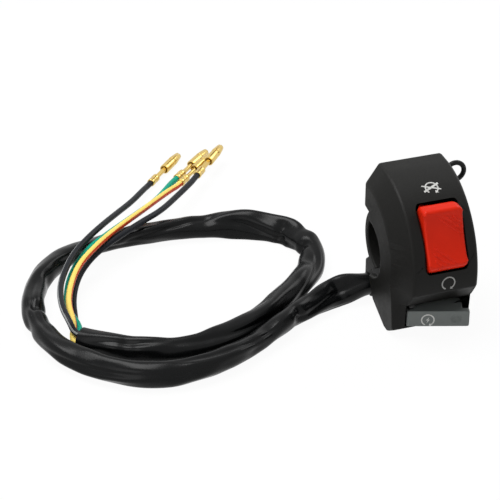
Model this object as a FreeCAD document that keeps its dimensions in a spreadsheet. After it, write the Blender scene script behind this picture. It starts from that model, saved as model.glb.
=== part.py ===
import FreeCAD, Part
import math
import os
import re
import Sketcher

# Handlebar switch: kill rocker above, starter lever below, for a 22 mm bar.
# Origin on the bar axis, X along the bar, -Y towards the rider, Z up.
# In the outlines "forward" is -Y and "up" is Z.

V = FreeCAD.Vector
X_AXIS = V(1, 0, 0)
Y_AXIS = V(0, 1, 0)
Z_AXIS = V(0, 0, 1)

doc = FreeCAD.newDocument("kill_switch")
sheet = doc.addObject("Spreadsheet::Sheet", "Sizes")

# Driving dimensions in millimetres and degrees

SIZES = [
    ("bar_radius", "11.1", "radius of the handlebar and of the clamp bore"),
    ("run_gap", "0.05", "radial running clearance of pins, screws and rivets"),
    ("seat_gap", "0.1", "clearance of a piece in its seat"),
    ("part_gap", "0.3", "clearance between neighbouring pieces"),
    ("cut_over", "1", "how far a cut runs on past the material"),
    ("left_end", "17", "left end of the front housing from the middle"),
    ("left_face", "12", "left end of the round front face from the middle"),
    ("right_end", "13.2", "right end of the front housing from the middle"),
    ("right_bevel", "1", "bevel of the front face at the right end"),
    ("right_wall", "1.2", "wall of the front housing's right end"),
    ("front_radius", "32.3", "front face about the bar axis"),
    ("end_radius", "24", "edge of the end faces"),
    ("end_forward", "-2", "centre of the end edge, forward of the bar axis"),
    ("end_up", "0.8", "centre of the end edge, above the bar axis"),
    ("chin_drop", "3.4", "where the front face turns under"),
    ("under_forward", "26.5", "inner end of the turned-under face"),
    ("under_setback", "2.5", "turned-under face further back at the left end"),
    ("under_drop", "10.5", "underside of the overhang below the bar axis"),
    ("toe_forward", "25.6", "front of the lower housing"),
    ("toe_drop", "20.7", "where the lower front turns to the foot"),
    ("foot_forward", "20", "front edge of the flat foot"),
    ("foot_length", "3", "flat foot from front to back"),
    ("floor_drop", "24.5", "bar axis above the surface it stands on"),
    ("heel_forward", "5", "rear corner of the bottom face"),
    ("heel_drop", "19.6", "rear corner of the bottom face below the bar axis"),
    ("throat_forward", "0.8", "lower rear edge beside the bore"),
    ("throat_drop", "12.3", "lower rear edge below the bar axis"),
    ("lip_back", "1.7", "upper rear edge beside the bore"),
    ("lip_up", "14.4", "upper rear edge above the bar axis"),
    ("split_back", "5.8", "upper parting face behind the bar axis"),
    ("split_up", "15", "lower end of the upper parting face"),
    ("shell_wall", "2.4", "wall of the front housing"),
    ("facet_inset", "1.8", "hollow's face ends this far inside the left face"),
    ("shelf_forward", "26.2", "front of the shelf over the lever recess"),
    ("shelf_end_forward", "21.7", "front of the shelf at the left end"),
    ("hollow_overlap", "0.8", "hollow's rear edge inside the saddle's seat"),
    ("boss_forward", "4.5", "front of the upper screw block"),
    ("saddle_wall", "2.2", "wall of the inner cover round the bar"),
    ("clamp_length", "26", "rear clamp along the bar"),
    ("clamp_wall", "3.1", "wall of the rear clamp behind the bar"),
    ("clamp_face", "2", "front edges of the rear clamp behind the bar axis"),
    ("ear_wall", "3.9", "thickness of the upper ear"),
    ("ear_top", "23", "top of the upper ear"),
    ("lobe_back", "12.6", "rear of the cable lobe"),
    ("lobe_drop", "12.9", "top rear corner of the cable lobe"),
    ("lobe_slope", "2.8", "sloping top of the cable lobe, front to back"),
    ("lobe_chamfer", "3", "lower rear chamfer of the cable lobe"),
    ("duct_back", "4", "cable duct behind the bar axis"),
    ("duct_drop", "18.7", "cable duct below the bar axis"),
    ("duct_radius", "4.4", "cable duct radius"),
    ("duct_depth", "16", "length of the cable duct"),
    ("channel_left", "8.6", "left side of the leads' channel from the middle"),
    ("channel_width", "5.2", "leads' channel along the bar"),
    ("channel_top", "14.8", "top of the leads' channel below the bar axis"),
    ("channel_drop", "18.8", "floor of the leads' channel below the bar axis"),
    ("slot_back", "5", "leads' slot in the shelf, forward of the saddle's seat"),
    ("window_back", "2.5", "window cut starts this far below the rocker pivot"),
    ("lead_behind", "1.5", "rising leads in front of the saddle"),
    ("lead_rise", "3", "leads above the shelf"),
    ("screw_radius", "1.75", "clamp screw shank"),
    ("screw_length", "14", "clamp screw shank length"),
    ("screw_head", "3.1", "clamp screw head radius"),
    ("screw_head_height", "2.4", "clamp screw head height"),
    ("socket_radius", "1.6", "hex socket of the clamp screws"),
    ("socket_depth", "1.7", "depth of the hex socket"),
    ("tip_room", "4", "room for a clamp screw's tip behind its insert"),
    ("upper_screw_up", "19.8", "upper clamp screw above the bar axis"),
    ("lower_screw_right", "7.5", "lower clamp screw from the middle"),
    ("lower_screw_drop", "16.7", "lower clamp screw below the bar axis"),
    ("lower_recess", "8.6", "depth of the lower screw's head recess"),
    ("insert_radius", "2.5", "brass insert radius"),
    ("insert_length", "6", "brass insert length"),
    ("loop_radius", "3.7", "cable guide loop, centre of its wire"),
    ("loop_wire", "0.95", "cable guide wire radius"),
    ("loop_reach", "7.25", "loop centre beyond the rear clamp's side"),
    ("loop_back", "9", "loop centre behind the bar axis"),
    ("loop_below", "2.1", "loop centre below the top of the upper ear"),
    ("rocker_angle", "32.6", "middle of the rocker above the forward direction"),
    ("rocker_shift", "0.9", "middle of the rocker along the bar"),
    ("pivot_depth", "4", "rocker pivot below the front face"),
    ("window_width", "15.9", "rocker window along the bar"),
    ("window_height", "26.2", "rocker window across the bar"),
    ("window_corner", "1.4", "corner radius of the rocker window"),
    ("rocker_gap", "0.4", "side clearance of the rocker in its window"),
    ("rocker_face_half", "10.5", "half length of the rocker face"),
    ("rocker_half", "12.3", "half length of the rocker below its bevelled ends"),
    ("rocker_bevel", "1.9", "lower edge of the bevelled ends above the pivot"),
    ("rocker_taper", "0.4", "rocker's end walls lean in towards the skirt"),
    ("rocker_rise", "5.9", "ends of the rocker face above its pivot"),
    ("rocker_dish", "45", "radius of the hollow rocker face"),
    ("rocker_skirt", "0.5", "lower end of the rocker's end walls below its pivot"),
    ("rocker_belly", "2.2", "underside of the rocker below its pivot"),
    ("rocker_belly_half", "8.5", "half length of the rocker's underside"),
    ("rocker_stem_half", "3.4", "half length of the rocker's stem"),
    ("rocker_stem", "6.2", "end of the rocker's stem below its pivot"),
    ("rocker_tilt", "10", "tilt of the rocker from the middle at each stop"),
    ("pin_radius", "1.2", "rocker pivot pin radius"),
    ("pin_end_wall", "0.5", "wall of the cheeks beyond the pin's blind holes"),
    ("cheek_wall", "3", "housing cheeks beside the rocker"),
    ("cheek_half", "3.5", "half length of the housing cheeks"),
    ("cheek_root", "2.5", "cheeks run this far above the pivot into the shell"),
    ("tip_radius", "1.7", "detent plunger radius"),
    ("tip_reach", "7.4", "tip of the plunger below the rocker pivot"),
    ("tip_length", "3", "length of the plunger"),
    ("nose_height", "0.7", "height of the plunger's cone"),
    ("bore_floor", "1.6", "blind end of the plunger bore below the pivot"),
    ("coil_wire", "0.2", "detent spring wire radius"),
    ("coil_radius", "1.3", "detent spring mean radius"),
    ("coil_turns", "3", "turns of the detent spring"),
    ("seesaw_half", "8", "half length of the kill contact"),
    ("seesaw_half_width", "2.5", "half width of the kill contact"),
    ("seesaw_thick", "0.6", "thickness of the kill contact"),
    ("knuckle_radius", "0.4", "round knuckle under the kill contact"),
    ("fulcrum_radius", "0.75", "post under the kill contact's knuckle"),
    ("seesaw_tilt", "6", "tilt of the kill contact at each stop"),
    ("base_drop", "10", "top of the contact base below the rocker pivot"),
    ("base_thick", "2.5", "thickness of the contact base"),
    ("base_half", "10.5", "half length of the contact base"),
    ("base_half_width", "10.5", "half width of the contact base"),
    ("rivet_offset", "7", "fixed contacts from the middle"),
    ("rivet_head", "1.3", "fixed contact head radius"),
    ("rivet_shank", "0.8", "fixed contact shank radius"),
    ("rivet_tail", "0.7", "fixed contact tail beyond the base"),
    ("base_screw_radius", "0.9", "contact base screw shank radius"),
    ("base_screw_head", "1.4", "contact base screw head radius"),
    ("base_screw_head_height", "1", "contact base screw head height"),
    ("base_screw_grip", "4.5", "contact base screw depth in the cheek"),
    ("base_screw_slot", "0.5", "width and depth of the contact base screw's slot"),
    ("recess_left", "12.2", "left wall of the lever recess from the middle"),
    ("recess_right", "12", "right wall of the lever recess from the middle"),
    ("recess_floor", "20.6", "floor of the lever recess below the bar axis"),
    ("recess_back", "10", "rear of the lever recess, forward of the bar axis"),
    ("lever_left", "9.2", "lever hinge from the middle, to the left"),
    ("lever_forward", "23.5", "lever hinge, forward of the bar axis"),
    ("lever_yaw", "18", "angle of the lever's face at rest"),
    ("lever_travel", "8", "turn of the lever when it is pressed"),
    ("lever_top", "13.1", "top of the lever below the bar axis"),
    ("lever_bottom", "19.9", "bottom of the lever below the bar axis"),
    ("plate_out", "3.2", "lever face in front of its hinge"),
    ("plate_thick", "2.8", "thickness of the lever's face plate"),
    ("plate_tail", "1.6", "face plate to the left of its hinge"),
    ("plate_reach", "21.4", "face plate to the right of its hinge"),
    ("block_start", "3", "near end of the lever's block"),
    ("block_end", "18.9", "far end of the lever's block"),
    ("block_back", "6.5", "rear of the lever's block behind its hinge"),
    ("block_lift", "0.8", "lower side of the lever's block above the face plate's"),
    ("hub_radius", "2", "lever hub radius"),
    ("lever_pin_radius", "1", "lever pin radius"),
    ("lever_pin_grip", "1.5", "lever pin depth in the shelf above the recess"),
    ("lever_pin_foot", "0.6", "lever pin depth in the recess floor"),
    ("bridge_start", "6", "near end of the starter contact bar"),
    ("bridge_end", "14", "far end of the starter contact bar"),
    ("bridge_thick", "0.8", "thickness of the starter contact bar"),
    ("bridge_top", "14.5", "top of the starter contact bar below the bar axis"),
    ("bridge_bottom", "17.5", "bottom of the starter contact bar"),
    ("contact_gap", "0.25", "starter contacts at full press"),
    ("stud_height", "0.6", "head height of the starter contact studs"),
    ("stud_radius", "1", "head radius of the starter contact studs"),
    ("stud_inset", "1.5", "starter studs from the contact bar's ends"),
    ("starter_thick", "3", "thickness of the starter contact block"),
    ("starter_margin", "2", "starter contact block beyond the contact bar"),
    ("starter_top", "12.5", "top of the starter contact block"),
    ("twist_wire", "0.2", "lever spring wire radius"),
    ("twist_radius", "1.6", "lever spring mean radius"),
    ("twist_height", "2", "lever spring height"),
    ("twist_turns", "2.75", "turns of the lever spring"),
    ("grommet_flange", "1.6", "grommet flange thickness"),
    ("grommet_lip", "0.5", "grommet flange beyond the duct radius"),
    ("grommet_depth", "3", "grommet depth in the duct"),
    ("grommet_bore", "3.2", "grommet bore radius"),
    ("lead_radius", "0.7", "insulated lead radius inside the housing"),
    ("lead_spread", "1.1", "leads from the middle of the duct"),
    ("sleeve_radius", "4.2", "harness sleeve radius"),
    ("wire_radius", "1.2", "free wire radius"),
    ("crimp_radius", "1.55", "terminal ferrule radius"),
    ("crimp_length", "5.3", "terminal ferrule length"),
    ("neck_radius", "1.05", "terminal neck radius"),
    ("neck_length", "7.2", "terminal neck length"),
    ("bullet_radius", "1.9", "bullet radius"),
    ("bullet_length", "13", "bullet length to its tip"),
    ("bullet_nose", "0.9", "bevel of the bullet's tip"),
    ("groove_depth", "0.45", "depth of the bullet's groove"),
    ("groove_start", "6.4", "bullet's groove from its collar"),
    ("groove_length", "1.5", "length of the bullet's groove"),
]

row = 1
for alias, number, meaning in SIZES:
    sheet.set(f"A{row}", meaning)
    sheet.set(f"B{row}", number)
    sheet.setAlias(f"B{row}", alias)
    row += 1

# Sizes that follow from the driving ones

DERIVED = [
    ("right_face", "right_end - right_bevel"),
    ("left_cavity", "left_end - shell_wall"),
    ("left_cavity_face", "left_face - facet_inset"),
    ("right_cavity", "right_end - right_wall"),
    ("bevel_radius", "front_radius - right_bevel"),
    ("pivot_radius", "front_radius - pivot_depth"),
    ("seat_radius", "bar_radius + saddle_wall + seat_gap"),
    ("shelf_drop", "under_drop - shell_wall"),
    ("half_clamp", "clamp_length / 2"),
    ("clamp_radius", "bar_radius + clamp_wall"),
    ("ear_front", "split_back + part_gap"),
    ("ear_back", "ear_front + ear_wall"),
    ("end_chin", "end_forward + end_radius * cos(asin((end_up + chin_drop) / end_radius))"),
    ("cheek_in", "window_width / 2"),
    ("cheek_out", "cheek_in + cheek_wall"),
    ("pin_hole", "pin_radius + run_gap"),
    ("tip_hole", "tip_radius + seat_gap"),
    ("rocker_half_width", "window_width / 2 - rocker_gap"),
    ("seesaw_top", "tip_reach + part_gap"),
    ("seesaw_pivot", "seesaw_top + seesaw_thick"),
    ("base_back", "base_drop + base_thick"),
    ("stand_angle", "90 - rocker_angle"),
    ("seesaw_drop", "rivet_offset * sin(seesaw_tilt) + seat_gap"),
    ("fixed_top", "seesaw_pivot + seesaw_drop"),
    ("studs_face", "block_back + bridge_thick + contact_gap"),
    ("starter_face", "studs_face + stud_height"),
    ("pressed_yaw", "lever_travel - lever_yaw"),
    ("terminal_length", "crimp_length + neck_length + bullet_length"),
    ("floor_z", "-floor_drop"),
    ("loop_up", "ear_top - loop_below"),
]

for alias, formula in DERIVED:
    sheet.set(f"B{row}", "=" + re.sub(r"\b(sin)\((\w+)\)", r"\1(\2 * 1 deg)", formula))
    sheet.setAlias(f"B{row}", alias)
    row += 1
doc.recompute()

FIRST_TURN = 10
ALIASES = {entry[0] for entry in SIZES} | {entry[0] for entry in DERIVED}
SUB_PARTS = []


def value(formula):
    """Number that a formula of sheet aliases gives now."""
    result = sheet.evalExpression(degrees(str(formula)))
    return float(getattr(result, "Value", result))


def degrees(formula):
    """Trigonometric arguments read as degrees."""
    return re.sub(r"\b(sin|cos|tan)\((\w+)\)", r"\1(\2 * 1 deg)", formula)


def linked(formula):
    """The same formula, as another object of the document reads it."""
    def full_name(match):
        word = match.group()
        return "Sizes." + word if word in ALIASES else word
    return re.sub(r"[a-z_]+", full_name, degrees(str(formula)))


def bind(target, **formulas):
    for name, formula in formulas.items():
        target.setExpression(name, linked(formula))


def place(target, x="0", y="0", z="0", axis=Z_AXIS, turn="0", name="Placement"):
    """Bind a placement: a base point and a turn about one axis, which a zero turn would not keep."""
    setattr(target, name, FreeCAD.Placement(V(0, 0, 0), FreeCAD.Rotation(axis, FIRST_TURN)))
    for letter, formula in (("x", x), ("y", y), ("z", z)):
        target.setExpression(f"{name}.Base.{letter}", linked(formula))
    target.setExpression(f"{name}.Rotation.Angle", linked(turn))


def new_body(label):
    body = doc.addObject("PartDesign::Body", label)
    body.Label = label
    SUB_PARTS.append(body)
    return body


def attach(feature, body, plane, x="0", y="0", z="0", axis=Z_AXIS, turn="0"):
    origin_plane = [item for item in body.Origin.OriginFeatures if item.Role == plane][0]
    feature.AttachmentSupport = [(origin_plane, "")]
    feature.MapMode = "FlatFace"
    place(feature, x, y, z, axis, turn, name="AttachmentOffset")


def arc_between(start, end, radius):
    """Arc of less than half a circle; a positive radius bulges to the right of its travel."""
    chord = end - start
    middle = (start + end) * 0.5
    normal = V(-chord.y, chord.x, 0).normalize()
    size = abs(radius)
    rise = math.sqrt(size ** 2 - (chord.Length / 2) ** 2)
    centre = middle + normal * (rise if radius > 0 else -rise)
    from_angle = math.atan2(start.y - centre.y, start.x - centre.x)
    to_angle = math.atan2(end.y - centre.y, end.x - centre.x)
    if radius < 0:
        from_angle, to_angle = to_angle, from_angle
    if to_angle < from_angle:
        to_angle += 2 * math.pi
    return Part.ArcOfCircle(Part.Circle(centre, Z_AXIS, size), from_angle, to_angle)


def outline(body, name, corners, plane="YZ_Plane", **offset):
    """Closed sketch through corners (x, y) or (x, y, radius of the arc to the next corner)."""
    sketch = body.newObject("Sketcher::SketchObject", name)
    attach(sketch, body, plane, **offset)
    points = [V(value(corner[0]), value(corner[1]), 0) for corner in corners]
    count = len(corners)
    ends = []
    for index, corner in enumerate(corners):
        start, end = points[index], points[(index + 1) % count]
        if len(corner) == 2:
            sketch.addGeometry(Part.LineSegment(start, end))
            ends.append((1, 2))
            continue
        radius = value(corner[2])
        sketch.addGeometry(arc_between(start, end, radius))
        ends.append((1, 2) if radius > 0 else (2, 1))
    for index, corner in enumerate(corners):
        following = (index + 1) % count
        sketch.addConstraint(
            Sketcher.Constraint("Coincident", index, ends[index][1], following, ends[following][0]))
        first = ends[index][0]
        for kind, number, formula in (("DistanceX", points[index].x, corner[0]),
                                      ("DistanceY", points[index].y, corner[1])):
            key = sketch.addConstraint(Sketcher.Constraint(kind, -1, 1, index, first, number))
            sketch.setExpression(f"Constraints[{key}]", linked(formula))
        if len(corner) == 3:
            radius = value(corner[2])
            key = sketch.addConstraint(Sketcher.Constraint("Radius", index, abs(radius)))
            sign = "" if radius > 0 else "-"
            sketch.setExpression(f"Constraints[{key}]", linked(f"{sign}({corner[2]})"))
    return sketch


def extrude(body, name, sketch, length, cut=False, flip=False):
    kind = "PartDesign::Pocket" if cut else "PartDesign::Pad"
    feature = body.newObject(kind, name)
    feature.Profile = sketch
    bind(feature, Length=length)
    feature.Reversed = flip
    sketch.Visibility = False
    return feature


def loft(body, name, sketches, cut=False):
    feature = body.newObject("PartDesign::SubtractiveLoft" if cut else "PartDesign::AdditiveLoft", name)
    feature.Profile = sketches[0]
    feature.Sections = sketches[1:]
    feature.Ruled = True
    return feature


def box(body, name, x, y, z, cut=False):
    """Block between pairs of formulas along each axis."""
    feature = body.newObject("PartDesign::SubtractiveBox" if cut else "PartDesign::AdditiveBox", name)
    attach(feature, body, "XY_Plane", x=x[0], y=y[0], z=z[0])
    bind(feature, Length=f"({x[1]}) - ({x[0]})", Width=f"({y[1]}) - ({y[0]})",
         Height=f"({z[1]}) - ({z[0]})")
    return feature


def rod(body, name, axis, centre, span, radius, cut=False):
    """Cylinder along one axis; centre holds the two other coordinates in X, Y, Z order."""
    kind = "PartDesign::SubtractiveCylinder" if cut else "PartDesign::AdditiveCylinder"
    feature = body.newObject(kind, name)
    if axis == "X":
        attach(feature, body, "YZ_Plane", x=centre[0], y=centre[1], z=span[0])
    elif axis == "Y":
        attach(feature, body, "XZ_Plane", x=centre[0], y=centre[1], z=f"-({span[1]})")
    else:
        attach(feature, body, "XY_Plane", x=centre[0], y=centre[1], z=span[0])
    bind(feature, Radius=radius, Height=f"({span[1]}) - ({span[0]})")
    return feature


# Frame of the kill switch: Y up along the front face, Z out of it, origin on the rocker pivot

PIVOT = {
    "x": "rocker_shift",
    "y": "-pivot_radius * cos(rocker_angle)",
    "z": "pivot_radius * sin(rocker_angle)",
}


def stand_on_pivot(body, extra_turn="0", drop="0"):
    place(body, PIVOT["x"],
          f"{PIVOT['y']} + ({drop}) * cos(rocker_angle)",
          f"{PIVOT['z']} - ({drop}) * sin(rocker_angle)",
          X_AXIS, f"stand_angle + ({extra_turn})")


# Front housing

REAR_CORNERS = [
    ("-foot_forward", "floor_z"),
    ("foot_length - foot_forward", "floor_z"),
    ("-heel_forward", "-heel_drop"),
    ("-throat_forward", "-throat_drop"),
    ("lip_back", "lip_up"),
    ("split_back", "split_up"),
]


def housing_section(body, name, station, radius, forward="0", up="0", under="under_forward"):
    """Outline of the housing at one station along the bar; its front is an arc about (forward, up)."""
    top = f"{up} + {radius}"
    corners = [
        ("split_back", top),
        (f"-{forward}", top, radius),
        (f"-{forward} - {radius} * cos(asin(({up} + chin_drop) / {radius}))", "-chin_drop"),
        (f"-({under})", "-under_drop"),
        ("-toe_forward", "-toe_drop"),
    ]
    return outline(body, name, corners + REAR_CORNERS, z=station)


def cavity_section(body, name, station, top, low, radius, shelf):
    """Outline of the upper hollow; its rear side lies inside the saddle's seat."""
    return outline(body, name, [
        ("-boss_forward", "seat_radius - hollow_overlap"),
        ("-boss_forward", top, radius),
        (f"-({low})", "-chin_drop"),
        (f"-{shelf}", "-shelf_drop"),
        ("-seat_radius * cos(asin(shelf_drop / seat_radius))", "-shelf_drop"),
    ], z=station)


def make_front_housing():
    body = new_body("front_housing")
    loft(body, "outer_form", [
        housing_section(body, "left_end_outline", "-left_end", "end_radius", "end_forward", "end_up",
                        "under_forward - under_setback"),
        housing_section(body, "left_face_outline", "-left_face", "front_radius"),
        housing_section(body, "right_face_outline", "right_face", "front_radius"),
        housing_section(body, "right_end_outline", "right_end", "bevel_radius"),
    ])
    face = ("front_radius * cos(asin(boss_forward / front_radius)) - shell_wall",
            "front_radius * cos(asin(chin_drop / front_radius)) - shell_wall",
            "front_radius - shell_wall", "shelf_forward")
    loft(body, "upper_hollow", [
        cavity_section(body, "left_end_hollow", "-left_cavity", "end_up + end_radius - shell_wall",
                       "end_chin", "end_radius", "shelf_end_forward"),
        cavity_section(body, "left_face_hollow", "-left_cavity_face", *face),
        cavity_section(body, "right_hollow", "right_cavity", *face),
    ], cut=True)
    rod(body, "saddle_seat", "X", ("0", "0"), ("-left_cavity", "right_cavity"), "seat_radius", cut=True)
    rod(body, "bar_bore", "X", ("0", "0"), ("-left_end - cut_over", "right_end + cut_over"), "bar_radius",
        cut=True)
    box(body, "lever_recess", ("-recess_left", "recess_right"), ("-front_radius - cut_over", "-recess_back"),
        ("-recess_floor", "-under_drop"), cut=True)
    box(body, "cable_channel", ("-channel_left", "channel_width - channel_left"),
        ("-recess_back - cut_over", "cut_over"), ("-channel_drop", "-channel_top"), cut=True)
    box(body, "lead_slot", ("-channel_left", "channel_width - channel_left"),
        ("-seat_radius - slot_back", "-seat_radius + cut_over"),
        ("-under_drop - cut_over", "-shelf_drop + cut_over"), cut=True)
    cheeks(body)
    window = outline(body, "window_outline", [
        ("-window_width / 2 + window_corner", "-window_height / 2"),
        ("window_width / 2 - window_corner", "-window_height / 2", "window_corner"),
        ("window_width / 2", "-window_height / 2 + window_corner"),
        ("window_width / 2", "window_height / 2 - window_corner", "window_corner"),
        ("window_width / 2 - window_corner", "window_height / 2"),
        ("-window_width / 2 + window_corner", "window_height / 2", "window_corner"),
        ("-window_width / 2", "window_height / 2 - window_corner"),
        ("-window_width / 2", "-window_height / 2 + window_corner", "window_corner"),
    ], plane="XY_Plane", axis=X_AXIS, turn="stand_angle", x=PIVOT["x"],
        y="-(pivot_radius - window_back) * cos(rocker_angle)",
        z="(pivot_radius - window_back) * sin(rocker_angle)")
    extrude(body, "rocker_window", window, "pivot_depth + window_back + cut_over", cut=True, flip=True)
    screw_holes(body)


def cheeks(body):
    """Two cheeks that carry the rocker pin and the contact base."""
    for side, inner in (("left", "rocker_shift - cheek_out"), ("right", "rocker_shift + cheek_in")):
        cheek = outline(body, f"{side}_cheek_outline", [
            ("-cheek_half", "-base_drop"), ("cheek_half", "-base_drop"),
            ("cheek_half", "cheek_root"), ("-cheek_half", "cheek_root"),
        ], z=inner, x=PIVOT["y"], y=PIVOT["z"], turn="stand_angle")
        extrude(body, f"{side}_cheek", cheek, "cheek_wall")
    rod(body, "pin_hole", "X", (PIVOT["y"], PIVOT["z"]),
        ("rocker_shift - cheek_out + pin_end_wall", "rocker_shift + cheek_out - pin_end_wall"), "pin_hole",
        cut=True)
    for side, sign in (("left", "-"), ("right", "+")):
        hole = body.newObject("PartDesign::SubtractiveCylinder", f"{side}_base_screw_hole")
        reach = "(pivot_radius - base_drop - cut_over)"
        attach(hole, body, "XY_Plane", x=f"rocker_shift {sign} (cheek_in + cheek_wall / 2)",
               y=f"-{reach} * cos(rocker_angle)", z=f"{reach} * sin(rocker_angle)",
               axis=X_AXIS, turn="stand_angle")
        bind(hole, Radius="base_screw_radius + run_gap", Height="base_screw_grip + cut_over + part_gap")


def screw_holes(body):
    """Seats of the two brass inserts and the room for the screw tips."""
    for name, x, z, face in (("upper", "0", "upper_screw_up", "split_back"),
                             ("lower", "lower_screw_right", "-lower_screw_drop", "-heel_forward")):
        rod(body, f"{name}_insert_seat", "Y", (x, z), (f"{face} - insert_length", f"{face} + insert_length"),
            "insert_radius", cut=True)
        rod(body, f"{name}_tip_hole", "Y", (x, z), (f"{face} - insert_length - tip_room", face),
            "screw_radius + seat_gap", cut=True)
    rod(body, "lever_pin_hole", "Z", ("-lever_left", "-lever_forward"),
        ("-recess_floor - lever_pin_foot", "-under_drop + lever_pin_grip"), "lever_pin_radius + run_gap",
        cut=True)


# Rear clamp with the cable lobe, and the cover between bar and contacts

def make_rear_clamp():
    body = new_body("rear_clamp")
    profile = outline(body, "clamp_outline", [
        ("ear_front", "ear_top"),
        ("ear_front", "split_up - part_gap"),
        ("clamp_face", "lip_up - part_gap"),
        ("clamp_face", "bar_radius * cos(asin(clamp_face / bar_radius))", "-bar_radius"),
        ("clamp_face", "-bar_radius * cos(asin(clamp_face / bar_radius))"),
        ("clamp_face", "-seat_radius - part_gap"),
        ("-throat_forward + part_gap", "-seat_radius - part_gap"),
        ("-heel_forward + 2 * part_gap", "-heel_drop + part_gap"),
        ("-heel_forward + 2 * part_gap", "floor_z"),
        ("lobe_back - lobe_chamfer", "floor_z"),
        ("lobe_back", "floor_z + lobe_chamfer"),
        ("lobe_back", "-lobe_drop"),
        ("lobe_back - lobe_slope", "-clamp_radius * cos(asin((lobe_back - lobe_slope) / clamp_radius))",
         "clamp_radius"),
        ("ear_back", "clamp_radius * cos(asin(ear_back / clamp_radius))"),
        ("ear_back", "ear_top"),
    ], z="-half_clamp")
    extrude(body, "clamp_form", profile, "clamp_length")
    rod(body, "cable_duct", "X", ("duct_back", "-duct_drop"),
        ("-half_clamp - cut_over", "duct_depth - half_clamp"), "duct_radius", cut=True)
    box(body, "duct_mouth", ("-channel_left", "channel_width - channel_left"),
        ("-heel_forward - cut_over", "duct_back"), ("-channel_drop", "-channel_top"), cut=True)
    rod(body, "upper_screw_hole", "Y", ("0", "upper_screw_up"), ("0", "ear_back + cut_over"),
        "screw_radius + seat_gap", cut=True)
    rod(body, "lower_screw_hole", "Y", ("lower_screw_right", "-lower_screw_drop"),
        ("-heel_forward - cut_over", "lobe_back + cut_over"), "screw_radius + seat_gap", cut=True)
    rod(body, "lower_head_recess", "Y", ("lower_screw_right", "-lower_screw_drop"),
        ("lobe_back - lower_recess", "lobe_back + cut_over"), "screw_head + part_gap", cut=True)


def make_bar_saddle():
    body = new_body("bar_saddle")
    rod(body, "saddle_form", "X", ("0", "0"), ("seat_gap - left_cavity", "right_cavity - seat_gap"),
        "seat_radius - seat_gap")
    rod(body, "saddle_bore", "X", ("0", "0"), ("-left_end", "right_end"), "bar_radius", cut=True)
    box(body, "saddle_rear", ("-left_end", "right_end"), ("clamp_face - part_gap", "2 * bar_radius"),
        ("-2 * bar_radius", "2 * bar_radius"), cut=True)


# Fasteners of the clamp

def clamp_screw_at(x, seat, z):
    """Socket-head screw along Y with its head's seat at the given Y."""
    head = Part.makeCylinder(value("screw_head"), value("screw_head_height"), V(x, seat, z), Y_AXIS)
    shank = Part.makeCylinder(value("screw_radius"), value("screw_length"), V(x, seat, z), -Y_AXIS)
    corners = []
    for step in range(7):
        angle = math.radians(60 * step)
        corners.append(V(x + value("socket_radius") * math.cos(angle), seat + value("screw_head_height"),
                         z + value("socket_radius") * math.sin(angle)))
    socket = Part.Face(Part.makePolygon(corners)).extrude(V(0, -value("socket_depth"), 0))
    return head.fuse(shank).cut(socket).removeSplitter()


def clamp_screws():
    return [clamp_screw_at(0, value("ear_back"), value("upper_screw_up")),
            clamp_screw_at(value("lower_screw_right"), value("lobe_back - lower_recess"),
                           -value("lower_screw_drop"))]


def thread_inserts():
    inserts = []
    for x, front, z in ((0, value("split_back"), value("upper_screw_up")),
                        (value("lower_screw_right"), -value("heel_forward"), -value("lower_screw_drop"))):
        seat = V(x, front, z)
        sleeve = Part.makeCylinder(value("insert_radius"), value("insert_length"), seat, -Y_AXIS)
        hole = Part.makeCylinder(value("screw_radius + run_gap"), value("insert_length"), seat, -Y_AXIS)
        inserts.append(sleeve.cut(hole))
    return inserts


def make_cable_guide():
    """Wire loop with a straight foot that meets the side of the rear clamp."""
    body = new_body("cable_guide_loop")
    ring = body.newObject("PartDesign::AdditiveTorus", "loop_ring")
    attach(ring, body, "XZ_Plane", x="half_clamp + loop_reach", y="loop_up", z="-loop_back")
    bind(ring, Radius1="loop_radius", Radius2="loop_wire")
    rod(body, "loop_foot", "X", ("loop_back", "loop_up"),
        ("half_clamp", "half_clamp + loop_reach - loop_radius"), "loop_wire")


# Kill rocker and its contacts

def make_rocker_pin():
    body = new_body("rocker_pin")
    end = "cheek_out - pin_end_wall - seat_gap"
    rod(body, "pin_form", "X", ("0", "0"), (f"-({end})", end), "pin_radius")
    stand_on_pivot(body)


def make_kill_rocker():
    body = new_body("kill_rocker")
    profile = outline(body, "rocker_outline", [
        ("rocker_face_half", "rocker_rise", "-rocker_dish"),
        ("-rocker_face_half", "rocker_rise"),
        ("-rocker_half", "rocker_bevel"),
        ("rocker_taper - rocker_half", "-rocker_skirt"),
        ("-rocker_belly_half", "-rocker_belly"),
        ("-rocker_stem_half", "-rocker_belly"),
        ("-rocker_stem_half", "-rocker_stem"),
        ("rocker_stem_half", "-rocker_stem"),
        ("rocker_stem_half", "-rocker_belly"),
        ("rocker_belly_half", "-rocker_belly"),
        ("rocker_half - rocker_taper", "-rocker_skirt"),
        ("rocker_half", "rocker_bevel"),
    ], z="-rocker_half_width")
    extrude(body, "rocker_form", profile, "2 * rocker_half_width")
    rod(body, "rocker_pin_hole", "X", ("0", "0"),
        ("-rocker_half_width - cut_over", "rocker_half_width + cut_over"), "pin_hole", cut=True)
    rod(body, "plunger_bore", "Z", ("0", "0"), ("-rocker_stem - cut_over", "-bore_floor"), "tip_hole",
        cut=True)
    stand_on_pivot(body, "rocker_tilt")


def make_detent_plunger():
    body = new_body("detent_plunger")
    rod(body, "plunger_form", "Z", ("0", "0"), ("nose_height - tip_reach", "tip_length - tip_reach"),
        "tip_radius")
    nose = body.newObject("PartDesign::AdditiveCone", "plunger_nose")
    attach(nose, body, "XY_Plane", z="-tip_reach")
    bind(nose, Radius1="tip_radius / 2", Radius2="tip_radius", Height="nose_height")
    stand_on_pivot(body, "rocker_tilt")


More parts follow.
